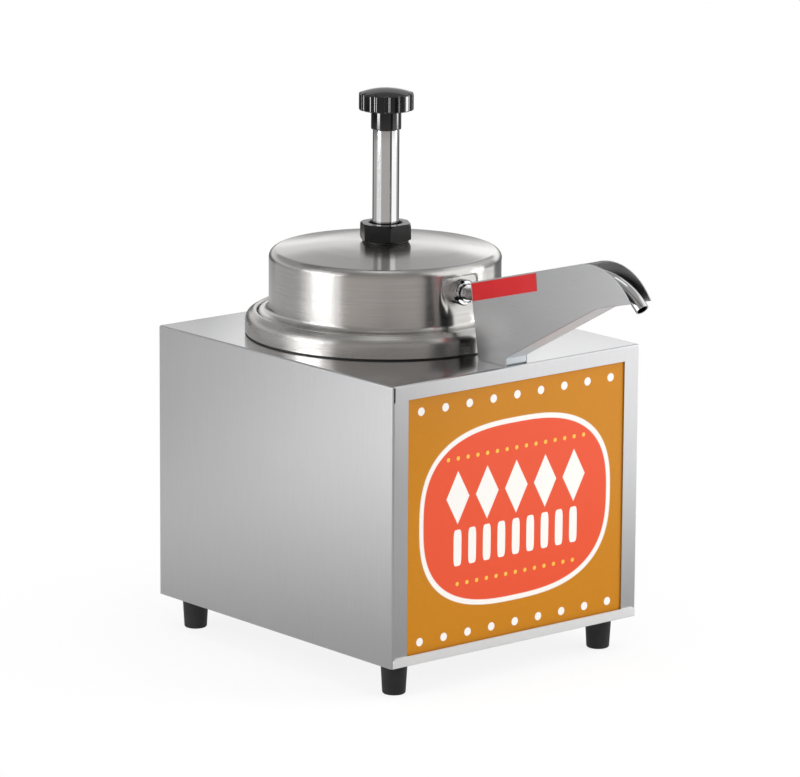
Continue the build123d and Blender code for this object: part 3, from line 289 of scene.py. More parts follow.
class Graph:
    # a node tree with short ways to add to it
    def __init__(self, tree):
        self.tree = tree

    def add(self, kind, inputs=None, **settings):
        node = self.tree.nodes.new(kind)
        for key, value in settings.items():
            setattr(node, key, value)
        for key, value in (inputs or {}).items():
            self.feed(node.inputs[key], value)
        return node

    def feed(self, socket, value):
        if isinstance(value, bpy.types.NodeSocket):
            self.tree.links.new(value, socket)
        else:
            socket.default_value = value

    def math(self, operation, first, second=0.0, third=0.0):
        return self.add("ShaderNodeMath", {0: first, 1: second, 2: third}, operation=operation).outputs[0]

    def rays(self):
        # 1 for what the camera sees, and 1 for what is seen in or through a piece
        path = self.add("ShaderNodeLightPath").outputs
        return path["Is Camera Ray"], self.math("MAXIMUM", path["Is Glossy Ray"], path["Is Transmission Ray"])


class Finish(Graph):
    # a Principled material with short ways to add pattern nodes
    def __init__(self, name, **values):
        self.material = bpy.data.materials.new(name)
        self.material.use_nodes = True
        super().__init__(self.material.node_tree)
        self.shader = self.tree.nodes["Principled BSDF"]
        for key, value in values.items():
            self.shader.inputs[key.replace("_", " ")].default_value = value
        self.place = self.add("ShaderNodeTexCoord").outputs["Object"]

    def stretched(self, scale, shift=(0, 0, 0)):
        inputs = {"Vector": self.place, "Scale": scale, "Location": shift}
        return self.add("ShaderNodeMapping", inputs).outputs[0]

    def noise(self, vector, scale, detail=3.0, rough=0.55):
        inputs = {"Vector": vector, "Scale": scale, "Detail": detail, "Roughness": rough}
        return self.add("ShaderNodeTexNoise", inputs).outputs[0]

    def parts(self, vector):
        return self.add("ShaderNodeSeparateXYZ", {0: vector}).outputs

    def length(self, vector):
        return self.add("ShaderNodeVectorMath", {0: vector}, operation="LENGTH").outputs["Value"]

    def centred(self, y):
        return self.stretched((1, 1, 1), (0, -y * mm, 0))

    def spread(self, value, low, high, fromLow=0.0, fromHigh=1.0):
        inputs = {"Value": value, "From Min": fromLow, "From Max": fromHigh, "To Min": low, "To Max": high}
        return self.add("ShaderNodeMapRange", inputs).outputs[0]

    def between(self, share, first, second):
        # mixes two colours
        node = self.add("ShaderNodeMix", data_type="RGBA")
        self.feed(node.inputs[0], share)
        self.feed(node.inputs[6], first)
        self.feed(node.inputs[7], second)
        return node.outputs[2]

    def colour(self, socket):
        self.feed(self.shader.inputs["Base Color"], socket)

    def rough(self, socket):
        self.feed(self.shader.inputs["Roughness"], socket)

    def glow(self, strength, colour=(1, 1, 1, 1)):
        # a plain light in place of the shader
        self.show(self.add("ShaderNodeEmission", {"Color": colour, "Strength": strength}))

    def show(self, shader):
        self.feed(self.tree.nodes["Material Output"].inputs[0], shader.outputs[0])

    def bump(self, height, strength, distance):
        inputs = {"Height": height, "Strength": strength, "Distance": distance}
        self.feed(self.shader.inputs["Normal"], self.add("ShaderNodeBump", inputs).outputs[0])

    def brushed(self, lines, cloudScale, edge, metal, roughness, depth, distance):
        # colour, roughness and bump that follow brush lines, with faint clouds of wear
        light, dark = steelLook[metal]
        clouds = self.noise(self.place, cloudScale, 2.0)
        self.colour(self.between(self.spread(lines, edge, 1 - edge, 0.3, 0.7), dark, light))
        wear = self.math("ADD", self.spread(lines, -0.05, 0.05), self.spread(clouds, -0.03, 0.03))
        self.rough(self.math("ADD", wear, roughness))
        self.bump(lines, depth, distance)


steelLook = {                   # two tones of the brush lines for each kind of metal
    "sheet": ((0.60, 0.60, 0.605, 1), (0.54, 0.54, 0.55, 1)),
    "lid": ((0.60, 0.585, 0.57, 1), (0.50, 0.485, 0.47, 1)),
    # painted shade: the spout plates take a darker copy of the sheet steel
    "spout": ((0.42, 0.42, 0.425, 1), (0.36, 0.36, 0.365, 1)),
    # painted light: the base pan takes a lighter copy of the sheet steel, so its sill shows brighter
    "pan": ((0.90, 0.90, 0.90, 1), (0.85, 0.85, 0.85, 1)),
    # painted light: the spout's web takes a lighter, bluer copy of the steel, standing in for the light it
    # reflects
    "web": ((0.65, 0.69, 0.72, 1), (0.61, 0.65, 0.68, 1)),
    # painted shade: near-black steel for the inside of the discharge tube
    "bore": ((0.06, 0.06, 0.06, 1), (0.04, 0.04, 0.04, 1)),
    "saddle": ((0.72, 0.72, 0.73, 1), (0.64, 0.64, 0.65, 1)),
    "heater": ((0.42, 0.40, 0.37, 1), (0.33, 0.31, 0.28, 1)),
    "brushLength": 45,          # how slowly the brush lines change along themselves
    "brushFineness": 2100,      # how fast they change across
}


def brushedSteel(name, along, roughness, metal, depth=0.12, metallic=1.0):
    # flat sheet with straight brush lines along X, Y or Z
    finish = Finish(name, Metallic=metallic)
    scale = [steelLook["brushFineness"]] * 3
    scale["XYZ".index(along)] = steelLook["brushLength"]
    lines = finish.noise(finish.stretched(scale), 1.0, 4.0, 0.6)
    finish.brushed(lines, 9.0, 0.2, metal, roughness, depth, 0.00012)
    return finish.material


def turnedSteel(name, roughness, metal, depth=0.12, grain=1.0, anisotropy=1.0):
    # brush lines that run round the pump axis, so the shine is drawn out across them
    finish = Finish(name, Metallic=1.0, Anisotropic=anisotropy, Anisotropic_Rotation=0.25)
    x, y, z = finish.parts(finish.centred(axisY))
    flat = finish.add("ShaderNodeCombineXYZ", {0: x, 1: y}).outputs[0]
    turn = finish.math("ARCTAN2", y, x)
    across = finish.math("MULTIPLY", finish.math("ADD", finish.length(flat), z), 1300 * grain)
    rings = finish.add("ShaderNodeCombineXYZ", {0: across, 1: finish.math("MULTIPLY", turn, 1.2)}).outputs[0]
    lines = finish.noise(rings, 1.0, 4.0, 0.6)
    finish.brushed(lines, 14.0, 0.15, metal, roughness, depth, 0.0001)
    tangent = finish.add("ShaderNodeTangent", direction_type="RADIAL", axis="Z")
    finish.feed(finish.shader.inputs["Tangent"], tangent.outputs[0])
    return finish.material


def polishedSteel(name, roughness=0.09, tint=(0.72, 0.72, 0.725, 1)):
    finish = Finish(name, Metallic=1.0)
    smears = finish.noise(finish.stretched((60, 60, 12)), 1.0, 4.0)
    fine = finish.noise(finish.stretched((3000, 3000, 90)), 1.0, 2.0)
    finish.colour(finish.between(smears, tint, tuple(0.93 * c for c in tint[:3]) + (1,)))
    finish.rough(finish.math("ADD", finish.spread(smears, roughness - 0.03, roughness + 0.04, 0.3, 0.7),
                             finish.spread(fine, -0.015, 0.015)))
    finish.bump(fine, 0.04, 0.0001)
    return finish.material


def moulded(name, colour, roughness, grain=0.05, coat=0.0, dust=0.02, shine=0.5):
    # moulded plastic or rubber with a fine skin and a trace of dust
    finish = Finish(name, Coat_Weight=coat, Coat_Roughness=0.08, Specular_IOR_Level=shine)
    skin = finish.noise(finish.place, 900.0, 3.0)
    patches = finish.noise(finish.place, 60.0, 4.0)
    dusty = tuple(min(1.0, c + dust) for c in colour[:3]) + (1,)
    finish.colour(finish.between(finish.spread(patches, 0.0, 1.0, 0.45, 0.75), colour, dusty))
    finish.rough(finish.spread(patches, roughness - 0.05, roughness + 0.07, 0.3, 0.7))
    finish.bump(skin, grain, 0.0002)
    return finish.material


def woolly(name, colour, dark):
    finish = Finish(name, Sheen_Weight=0.3)
    fibres = finish.noise(finish.stretched((180, 180, 700)), 1.0, 6.0, 0.7)
    finish.colour(finish.between(fibres, dark, colour))
    finish.rough(finish.spread(fibres, 0.85, 1.0))
    finish.bump(fibres, 0.7, 0.0015)
    return finish.material


look = {
    "shell": brushedSteel("shellSteel", "Z", 0.34, "sheet"),
    "deck": brushedSteel("deckSteel", "X", 0.16, "sheet", 0.08),
    # painted light: a lighter, part matt copy of the sheet steel for the base pan
    "pan": brushedSteel("panLightSteel", "X", 0.42, "pan", 0.12, 0.65),
    # painted shade: a darker copy of the sheet steel for the spout plates
    "spout": brushedSteel("spoutShadeSteel", "Y", 0.30, "spout"),
    # painted light: a lighter, bluer steel for the spout's web
    "spoutWeb": brushedSteel("webLightSteel", "Y", 0.6, "web", 0.06, 0.45),
    # painted shade: near-black steel for the inside of the discharge tube
    "bore": brushedSteel("boreShadeSteel", "Y", 0.6, "bore", 0.06),
    "collar": turnedSteel("collarSteel", 0.28, "lid", 0.04, 1.0, 0.9),
    "lid": turnedSteel("lidSteel", 0.24, "lid", 0.06, 0.6, 0.9),
    "lidTop": turnedSteel("lidTopSteel", 0.17, "lid", 0.06, 0.6, 0.9),
    # painted shade: near-black steel for the faces in the slotted nut's slots
    "slots": polishedSteel("slotShadeSteel", 0.3, (0.10, 0.10, 0.10, 1)),
    "jar": turnedSteel("jarSteel", 0.30, "sheet"),
    "polished": polishedSteel("polishedSteel", 0.06),
    "turned": polishedSteel("turnedSteel", 0.2),
    "zinc": polishedSteel("platedSteel", 0.28, (0.58, 0.58, 0.57, 1)),
    "aluminium": brushedSteel("saddleAluminium", "Y", 0.38, "saddle"),
    "blackGloss": moulded("blackGloss", (0.003, 0.003, 0.0035, 1), 0.08, 0.0, 0.0, 0.002, 0.8),
    "nutBlack": moulded("nutBlack", (0.004, 0.004, 0.004, 1), 0.16, 0.06, 0.0, 0.005, 0.25),
    "blackMatt": moulded("blackMatt", (0.025, 0.025, 0.026, 1), 0.5, 0.1),
    "rubber": moulded("footRubber", (0.010, 0.010, 0.010, 1), 0.5, 0.18, 0.0, 0.008),
    "white": moulded("whitePaint", (0.82, 0.82, 0.80, 1), 0.4, 0.08),
    "board": moulded("ledBoard", (0.75, 0.76, 0.70, 1), 0.5),
    "driver": moulded("driverCase", (0.68, 0.68, 0.67, 1), 0.45, 0.1),
    "mica": brushedSteel("heaterSteel", "Z", 0.5, "heater"),
    "wool": woolly("glassWool", (0.82, 0.74, 0.50, 1), (0.60, 0.52, 0.30, 1)),
    "phenolic": moulded("phenolic", (0.10, 0.055, 0.03, 1), 0.45),
    "plate": moulded("dialPlate", (0.03, 0.03, 0.032, 1), 0.35, 0.03),
    "seal": moulded("sealPlastic", (0.82, 0.80, 0.74, 1), 0.4),
    "amber": moulded("amberLens", (0.80, 0.22, 0.02, 1), 0.12, 0.02, 0.6),
    "print": moulded("whitePrint", (0.78, 0.78, 0.76, 1), 0.5),
    "redBand": moulded("redVinyl", (0.60, 0.018, 0.022, 1), 0.4, 0.03, 0.0, 0.01, 0.2),
}
slotLook = {
    "stainless_sheet": "shell", "spun_lid": "lid", "polished_steel": "polished", "zinc_steel": "zinc",
    "rubber": "rubber", "black_gloss_plastic": "blackGloss", "black_plastic": "blackMatt",
    "sign_rail_plastic": "blackMatt", "white_painted_steel": "white", "led_board": "board",
    "driver_case": "driver", "heater_mica": "mica", "glass_wool": "wool", "phenolic": "phenolic",
    "shaft_steel": "turned", "dial_plate_aluminium": "plate", "lamp_chrome": "polished",
    "amber_lens": "amber", "saddle_aluminium": "aluminium", "seal_plastic": "seal",
}
nodeLook = {"valve_body": "turned", "pump_cylinder": "turned", "base_pan": "pan", "sign_panel": "sign"}
say("materials made")


# the printed sign: an oval with a white border and rows of plain shapes, all worked out from X and Z

signPrint = {
    "field": (0.58, 0.226, 0.006, 1), "fieldDark": (0.51, 0.188, 0.003, 1),
    "badge": (0.76, 0.085, 0.030, 1), "white": (0.88, 0.86, 0.82, 1), "dots": (0.90, 0.52, 0.07, 1),
    "ovalWidth": 89.0, "ovalHeight": 66.0, "border": 3.6, "squareness": 2.7,
}


def signMaterial():
    low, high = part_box("sign_panel")
    finish = Finish("signPrint", Specular_IOR_Level=0.25)
    middle = (low + high) / 2
    shifted = finish.stretched((1 / mm, 1 / mm, 1 / mm), (0, 0, -middle.z / mm))
    x, _, z = finish.parts(shifted)
    calc = finish.math
    absX, absZ = calc("ABSOLUTE", x), calc("ABSOLUTE", z)

    def rounded(across, up, width, height, power):
        # below 1 inside a rounded shape of these half sizes
        across, up = calc("DIVIDE", across, width), calc("DIVIDE", up, height)
        return calc("ADD", calc("POWER", across, power), calc("POWER", up, power))

    def oval(width, height):
        return rounded(absX, absZ, width, height, signPrint["squareness"])

    def inside(value, limit=1.0, blur=0.012):
        return finish.spread(value, 1.0, 0.0, limit - blur, limit + blur)

    def rowOf(step, count, height, build, shift=0.0):
        # one shape repeated along X at a height
        local = calc("PINGPONG", calc("ADD", x, shift), step / 2)
        across = calc("SUBTRACT", step / 2, local) if shift else local
        up = calc("ABSOLUTE", calc("SUBTRACT", z, height))
        return calc("MULTIPLY", inside(build(across, up), 1.0, 0.03), inside(absX, step * count / 2, 0.05))

    def diamond(width, height):
        return lambda across, up: calc("ADD", calc("DIVIDE", across, width), calc("DIVIDE", up, height))

    def disc(radius):
        squares = lambda across, up: calc("ADD", calc("POWER", across, 2.0), calc("POWER", up, 2.0))
        return lambda across, up: calc("DIVIDE", calc("SQRT", squares(across, up)), radius)

    def bar(width, height):
        return lambda across, up: rounded(across, up, width, height, 5.0)

    wide, tall, border = signPrint["ovalWidth"], signPrint["ovalHeight"], signPrint["border"]
    weave = finish.noise(finish.stretched((900, 900, 5200)), 1.0, 2.0, 0.5)
    weft = finish.noise(finish.stretched((5200, 900, 900)), 1.0, 2.0, 0.5)
    cloth = calc("MULTIPLY", calc("ADD", weave, weft), 0.5)
    threads = finish.spread(cloth, 0, 1, 0.38, 0.62)
    colour = finish.between(threads, signPrint["fieldDark"], signPrint["field"])
    # each layer covers what lies under it: the oval's border, the oval, the shapes on it and the rows of dots
    for share, paint in (
        (inside(oval(wide, tall)), "white"),
        (inside(oval(wide - border, tall - border)), "badge"),
        (rowOf(27.0, 5, 16.0, diamond(10.5, 19.0), 13.5), "white"),
        (rowOf(27.0, 4, 16.0, disc(3.2)), "white"),
        (rowOf(13.5, 9, -20.0, bar(3.6, 13.0), 6.75), "white"),
        (rowOf(9.0, 15, 44.0, disc(1.5), 4.5), "dots"),
        (rowOf(9.0, 13, -46.0, disc(1.5), 4.5), "dots"),
        (rowOf(22.0, 9, 82.0, disc(3.0), 11.0), "white"),
        (rowOf(22.0, 9, -82.0, disc(3.0), 11.0), "white"),
    ):
        colour = finish.between(share, colour, signPrint[paint])
    finish.colour(colour)
    finish.rough(finish.spread(cloth, 0.18, 0.26))
    return finish.material


look["sign"] = signMaterial()
say("sign printed")


# collar and well, drawn in one piece

wellShape = {"skirt": 100.0, "slopeDrop": 3.4, "slopeTop": 94.3, "slopeBend": 6.0, "inner": 92.3,
             "ledge": 231.5, "wall": 85.5, "floor": 34.0, "floorBend": 12.0, "sheet": 1.0}


def makeWell():
    top = heights("well")[1] - wellShape["sheet"] / 2
    piece = drawLine("collarAndWell", [
        (wellShape["skirt"], deckTop + 1, 0),
        (wellShape["skirt"], top - wellShape["slopeDrop"], wellShape["slopeBend"]),
        (wellShape["slopeTop"], top, 1.2), (wellShape["inner"], top, 0.7),
        (wellShape["inner"], wellShape["ledge"], 1.0), (wellShape["wall"], wellShape["ledge"], 1.6),
        (wellShape["wall"], wellShape["floor"], wellShape["floorBend"]), (0, wellShape["floor"], 0),
    ], fromAxis, arcSteps=10)
    spinLine(piece, 256)
    giveWall(piece, wellShape["sheet"])
    finishOff(piece, 0.2, 60)
    dress(piece, look["collar"], "well")


# lid, with the flat pressed in for the discharge fitting

lidShape = {"hem": 90.5, "wall": 83.0, "sheet": 1.0, "flangeRise": 16.0, "flangeBend": 4.5,
            "shoulderRise": 59.3, "shoulderBend": 5.5, "domeAt": 0.55, "domeDrop": 1.4, "domeRadius": 260,
            "neck": 11.6, "bore": 266.3, "boreReach": 6.0, "rings": 46, "steps": 384,
            "padHalfWidth": 16.5, "padDepth": 2.4, "padTop": 277.6, "padCorner": 4.5, "padBlend": 1.5,
            "padFoot": 245.0, "padFade": 18.0, "softBelow": 270.0, "softOver": 14.0, "softBlend": 9.0,
            "fineAside": 7, "fineAbove": 1.9, "fineBehind": 13, "pressBehind": 23}


def makeLid():
    bottom, crown = heights("lid")
    crown -= lidShape["sheet"] / 2
    flange = deckTop + lidShape["flangeRise"]
    shoulder = deckTop + lidShape["shoulderRise"]
    piece = drawLine("lidShell", [
        (lidShape["hem"], bottom, 0), (lidShape["hem"], flange, 1.2),
        (lidShape["wall"], flange, lidShape["flangeBend"]), (lidShape["wall"], lidShape["padFoot"], 0),
        (lidShape["wall"], shoulder, lidShape["shoulderBend"]),
        (lidShape["domeAt"] * lidShape["wall"], crown - lidShape["domeDrop"], lidShape["domeRadius"]),
        (lidShape["neck"], crown, 0),
    ], fromAxis, arcSteps=12)
    # extra rings on the wall, where the flat is pressed
    low, high = lidShape["padFoot"] - 0.2, shoulder - 4
    pickVertices(lambda co: abs(co.x) / mm > lidShape["wall"] - 0.01 and low < co.z / mm < high)
    bpy.ops.mesh.subdivide(number_cuts=lidShape["rings"])
    spinLine(piece, lidShape["steps"])
    pressPad(piece)
    openBore(piece)
    giveWall(piece, lidShape["sheet"])
    finishOff(piece)
    dress(piece, look["lid"], "lid", second=look["lidTop"])
    secondOnTop(piece, shoulder - 2)


def within(value):
    return max(0.0, min(1.0, value))


def pressPad(piece):
    # pushes the wall in to a flat whose top corners are round and whose sides fade towards the flange
    makeActive(piece)
    toEdit()
    front = axisY - lidShape["wall"]
    reach, behind = lidShape["padHalfWidth"] + lidShape["fineAside"], front + lidShape["fineBehind"]
    low, high = lidShape["padFoot"] + 1, lidShape["padTop"] + lidShape["fineAbove"]
    pickVertices(lambda co: co.y / mm < behind and abs(co.x) / mm < reach and low < co.z / mm < high)
    bpy.ops.mesh.subdivide(number_cuts=1)
    toObject()
    flatY = front + lidShape["padDepth"]
    halfWidth, corner = lidShape["padHalfWidth"], lidShape["padCorner"]
    for vertex in piece.data.vertices:
        x, y, z = (c / mm for c in vertex.co)
        if y > front + lidShape["pressBehind"] or z < lidShape["padFoot"]:
            continue
        beyondSide = abs(x) - (halfWidth - corner)
        beyondTop = z - (lidShape["padTop"] - corner)
        if beyondSide > 0 and beyondTop > 0:
            inward = corner - sqrt(beyondSide ** 2 + beyondTop ** 2)
        else:
            inward = corner - max(beyondSide, beyondTop)
        soft = within((lidShape["softBelow"] - z) / lidShape["softOver"])
        blend = lidShape["padBlend"] + lidShape["softBlend"] * soft
        share = within((inward + blend / 2) / blend) * within((z - lidShape["padFoot"]) / lidShape["padFade"])
        share = share * share * (3 - 2 * share)
        if flatY > y:
            vertex.co.y = (y + (flatY - y) * share) * mm


def openBore(piece):
    # takes out the faces where the fitting goes through the flat, under its nut
    middle = Vector((0, (axisY - lidShape["wall"]) * mm, lidShape["bore"] * mm))
    makeActive(piece)
    toEdit()
    pickVertices(lambda co: (co - middle).length < lidShape["boreReach"] * mm)
    bpy.ops.mesh.delete(type="FACE")
    toObject()


# food jar that hangs in the well

jarShape = {"rim": 90.7, "wall": 80.0, "rimBend": 1.5, "floorBend": 12.0, "sheet": 1.0}


def makeJar():
    floor, rim = heights("food_jar")
    floor += jarShape["sheet"] / 2
    rim -= jarShape["sheet"] / 2
    piece = drawLine("foodJar", [
        (jarShape["rim"], rim, 0), (jarShape["wall"], rim, jarShape["rimBend"]),
        (jarShape["wall"], floor, jarShape["floorBend"]), (0, floor, 0),
    ], fromAxis, 10)
    spinLine(piece, 192)
    giveWall(piece, jarShape["sheet"])
    finishOff(piece, 0.2, 60)
    dress(piece, look["jar"], "food_jar")


# knob with lobes, and the tube below it

knobShape = {"head": 19.6, "collar": 10.8, "lobes": 12, "grooveRadius": 2.1, "grooveAt": 20.3, "phase": 52.5,
             "rimHeight": 11.8, "collarHeight": 14.2, "bore": 9.6, "boreDepth": 6, "domeSteps": 14,
             "grooveFrom": 15, "innerShare": 0.5}


def grooveReach(angle):
    # how far out the scalloped rim reaches at an angle
    pitch = 2 * pi / knobShape["lobes"]
    off = (angle - radians(knobShape["phase"]) + pitch / 2) % pitch - pitch / 2
    aside = knobShape["grooveAt"] * sin(off)
    if abs(aside) >= knobShape["grooveRadius"]:
        return knobShape["head"]
    return min(knobShape["head"],
               knobShape["grooveAt"] * cos(off) - sqrt(knobShape["grooveRadius"] ** 2 - aside ** 2))


def makeKnob():
    bottom, top = heights("knob")
    head = bottom + knobShape["collarHeight"]
    rim = head + knobShape["rimHeight"]
    bore, collar, widest = knobShape["bore"], knobShape["collar"], knobShape["head"]
    outline = [(bore, bottom + knobShape["boreDepth"], 0), (bore, bottom, 0), (collar, bottom, 1.1),
               (collar, head, 0.3), (widest, head, 0.8), (widest, rim, 0.7)]
    steps = knobShape["domeSteps"]
    domeRadius = (widest ** 2 + (top - rim) ** 2) / (2 * (top - rim))
    for i in range(1, steps + 1):
        u = widest * (1 - i / steps)
        outline.append((u, top - domeRadius + sqrt(domeRadius ** 2 - u ** 2), 0))
    piece = drawLine("knob", outline, fromAxis, arcSteps=4)
    spinLine(piece, 360)
    for vertex in piece.data.vertices:
        x, y = vertex.co.x / mm, vertex.co.y / mm - axisY
        reach = sqrt(x * x + y * y)
        if vertex.co.z / mm > head - 0.05 and reach > knobShape["grooveFrom"]:
            inset = (widest - min(reach, widest)) * knobShape["innerShare"]
            limit = min(reach, grooveReach(atan2(y, x)) - inset)
            if limit < reach:
                vertex.co.x *= limit / reach
                vertex.co.y = (y * limit / reach + axisY) * mm
    smooth(piece, 40)
    evenNormals(piece)
    dress(piece, look["blackGloss"], "knob")


plungerShape = {"inner": 8.3, "outer": 9.5, "edge": 0.3}


def makePlungerTube():
    bottom, top = heights("plunger_tube")
    inner, outer, edge = plungerShape["inner"], plungerShape["outer"], plungerShape["edge"]
    outline = [(inner, bottom, 0), (outer, bottom, edge), (outer, top, edge), (inner, top, 0)]
    piece = drawLine("plungerTube", outline, fromAxis, 3, closed=True)
    spinLine(piece, 96)
    finishOff(piece)
    dress(piece, look["polished"], "plunger_tube")


# hexagon lock nut

nutShape = {"corner": 19.5, "draft": 0.35, "bore": 11.25, "mouth": 12.4, "neckDrop": 2.6,
            "footIn": 2.4, "footRise": 1.4, "topIn": 1.6, "topDrop": 1.8}


def makeLockNut():
    bottom, top = heights("lock_nut")
    clearSelection()
    bpy.ops.mesh.primitive_cylinder_add(
        vertices=6, radius=nutShape["corner"] * mm, depth=(top - bottom) * mm,
        location=(0, axisY * mm, (top + bottom) / 2 * mm), rotation=(0, 0, pi / 6))
    piece = settle(named("lockNut"))
    corner = nutShape["corner"]
    outline = [(0, bottom, 0), (corner - nutShape["footIn"], bottom, 0),
               (corner + 0.1, bottom + nutShape["footRise"], 0),
               (corner - nutShape["draft"], top - nutShape["topDrop"], 0),
               (corner - nutShape["topIn"], top, 0), (0, top, 0)]
    crown = drawLine("crown", outline, fromAxis)
    spinLine(crown, 72)
    cut(piece, crown, "INTERSECT")
    neckTop = top - nutShape["neckDrop"]
    outline = [(0, bottom - 1, 0), (nutShape["bore"], bottom - 1, 0), (nutShape["bore"], neckTop, 0),
               (nutShape["mouth"], top + 0.2, 0), (0, top + 0.2, 0)]
    bore = drawLine("bore", outline, fromAxis)
    spinLine(bore, 72)
    cut(piece, bore)
    finishOff(piece, 0.45, 28, 3)
    dress(piece, look["nutBlack"], "lock_nut")


# discharge tube: up from the pump, out of the lid, along the spout and down

tubeShape = {"middle": 4.25, "wall": 1.0, "riser": 16.0, "fitting": 266.3, "bendStart": 84.0, "rise": 15.3,
             "nozzleHeight": 283.6, "nozzleFall": 42.0, "nozzleReach": 259.5, "bends": (16.0, 24.0, 52.0)}


def makeDischargeTube():
    foot = heights("discharge_tube")[0]
    lowBend, middleBend, highBend = tubeShape["bends"]
    outer = tubeShape["middle"] + tubeShape["wall"] / 2
    nozzle = tubeShape["nozzleReach"] - outer * sin(radians(tubeShape["nozzleFall"]))
    rise, fall = tan(radians(tubeShape["rise"])), tan(radians(tubeShape["nozzleFall"]))
    crest = (tubeShape["nozzleHeight"] - tubeShape["fitting"] + fall * nozzle + rise * tubeShape["bendStart"])
    crest /= fall + rise
    crestHeight = tubeShape["fitting"] + (crest - tubeShape["bendStart"]) * rise
    piece = drawLine("dischargeTube", [
        (tubeShape["riser"], foot, 0), (tubeShape["riser"], tubeShape["fitting"], lowBend),
        (tubeShape["bendStart"], tubeShape["fitting"], middleBend), (crest, crestHeight, highBend),
        (nozzle, tubeShape["nozzleHeight"], 0),
    ], sideways, arcSteps=20)
    toObject()
    makeActive(piece)
    bpy.ops.object.convert(target="CURVE")
    piece = bpy.context.object
    piece.data.bevel_depth = tubeShape["middle"] * mm
    piece.data.bevel_resolution = 14
    piece.data.use_fill_caps = False
    bpy.ops.object.convert(target="MESH")
    piece = bpy.context.object
    toEdit()
    closeSeams()
    # the inner wall takes the near-black bore steel: painted shade inside the tube
    giveWall(piece, tubeShape["wall"], 0.0, 1)
    finishOff(piece, 0.2, 60)
    dress(piece, look["polished"], "discharge_tube", second=look["bore"])


# spout trough: two side plates and the web between them

# places are (forward of the cabinet's middle, height); the web's first three are heights above the deck
spoutShape = {"halfWidth": 10.0, "sheet": 1.0, "steps": 24, "heel": 99.6, "toe": 128.8, "toeRise": 5.9,
              "rearTop": (90.3, 277.6), "crest": (200.0, 307.1), "over": (230.0, 307.2),
              "tip": (254.6, 288.4), "underside": (222.0, 280.3),
              "web": ((100.0, 0.5), (128.3, 0.5), (128.3, 6.0)), "webBend": (222.0, 280.9),
              "webEnd": (238.0, 284.5)}


def arcBetween(start, over, end, count):
    # points of the circle through three points, without its two ends
    a, b, c = (Vector(p) for p in (start, over, end))
    d = 2 * (a.x * (b.y - c.y) + b.x * (c.y - a.y) + c.x * (a.y - b.y))
    squares = [p.length_squared for p in (a, b, c)]
    centre = Vector(((squares[0] * (b.y - c.y) + squares[1] * (c.y - a.y) + squares[2] * (a.y - b.y)) / d,
                     (squares[0] * (c.x - b.x) + squares[1] * (a.x - c.x) + squares[2] * (b.x - a.x)) / d))
    first = atan2(a.y - centre.y, a.x - centre.x)
    last = atan2(c.y - centre.y, c.x - centre.x)
    reach = (a - centre).length
    return [(centre.x + reach * cos(first + (last - first) * i / count),
             centre.y + reach * sin(first + (last - first) * i / count)) for i in range(1, count)]


def makeSpout():
    deck = heights("spout_housing")[0]
    tip, crest, toe = spoutShape["tip"], spoutShape["crest"], spoutShape["toe"]
    outline = [spoutShape["rearTop"], (spoutShape["heel"], deck), (toe, deck),
               (toe, deck + spoutShape["toeRise"]), spoutShape["underside"], tip]
    outline += arcBetween(tip, spoutShape["over"], crest, spoutShape["steps"]) + [crest]
    aside = spoutShape["halfWidth"] - spoutShape["sheet"] / 2
    plates = [plateFrom(outline, "spoutPlate", side * aside, spoutShape["sheet"]) for side in (-1, 1)]
    (rear, low), (front, _), (_, step) = spoutShape["web"]
    web = drawLine("spoutWeb", [
        (rear, deck + low, 0), (front, deck + low, 1.2), (front, deck + step, 1.2),
        (*spoutShape["webBend"], 6.0), (*spoutShape["webEnd"], 0),
    ], sideways, arcSteps=6)
    inside = (spoutShape["halfWidth"] - spoutShape["sheet"]) * mm
    selectAll()
    bpy.ops.transform.translate(value=(-inside, 0, 0))
    bpy.ops.mesh.extrude_region_move(TRANSFORM_OT_translate={"value": (2 * inside, 0, 0)})
    faceOut()
    giveWall(web, spoutShape["sheet"])
    # the web takes a lighter, bluer steel (painted light) and the plates a darker one (painted shade)
    for thing, material in [(web, "spoutWeb")] + [(plate, "spout") for plate in plates]:
        thing.data.materials.append(look[material])
    makeActive(web)
    for plate in plates:
        plate.select_set(True)
    bpy.ops.object.join()
    piece = named("spoutTrough")
    finishOff(piece, 0.22, 40)
    dress(piece, look["spoutWeb"], "spout_housing", second=look["spout"])


# slotted round nut where the tube leaves the lid

# the slots' faces lie between these distances from the nut's axis, and behind its front
slotShape = {"reach": (6.05, 9.1), "front": 2.2, "behind": (0.3, 3.5)}


def makeSlottedNut():
    piece = cleanCopy("discharge_nut", "slottedNut", 0.25, 35)
    dress(piece, look["polished"], "discharge_nut", second=look["slots"])
    low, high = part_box("discharge_nut")
    middle = (low + high) / 2
    (nearest, farthest), (first, last) = slotShape["reach"], slotShape["behind"]
    # faces in the slots take the near-black slot steel: painted shade
    for face in piece.data.polygons:
        off = face.center - middle
        reach = sqrt(off.x ** 2 + off.z ** 2) / mm
        behind = (face.center.y - low.y) / mm - slotShape["front"]
        if nearest < reach < farthest and first < behind < last:
            face.material_index = 1


# feet

footShape = {"bottom": 8.2, "top": 9.6, "round": 1.4, "counterbore": 5.0, "hole": 2.5}


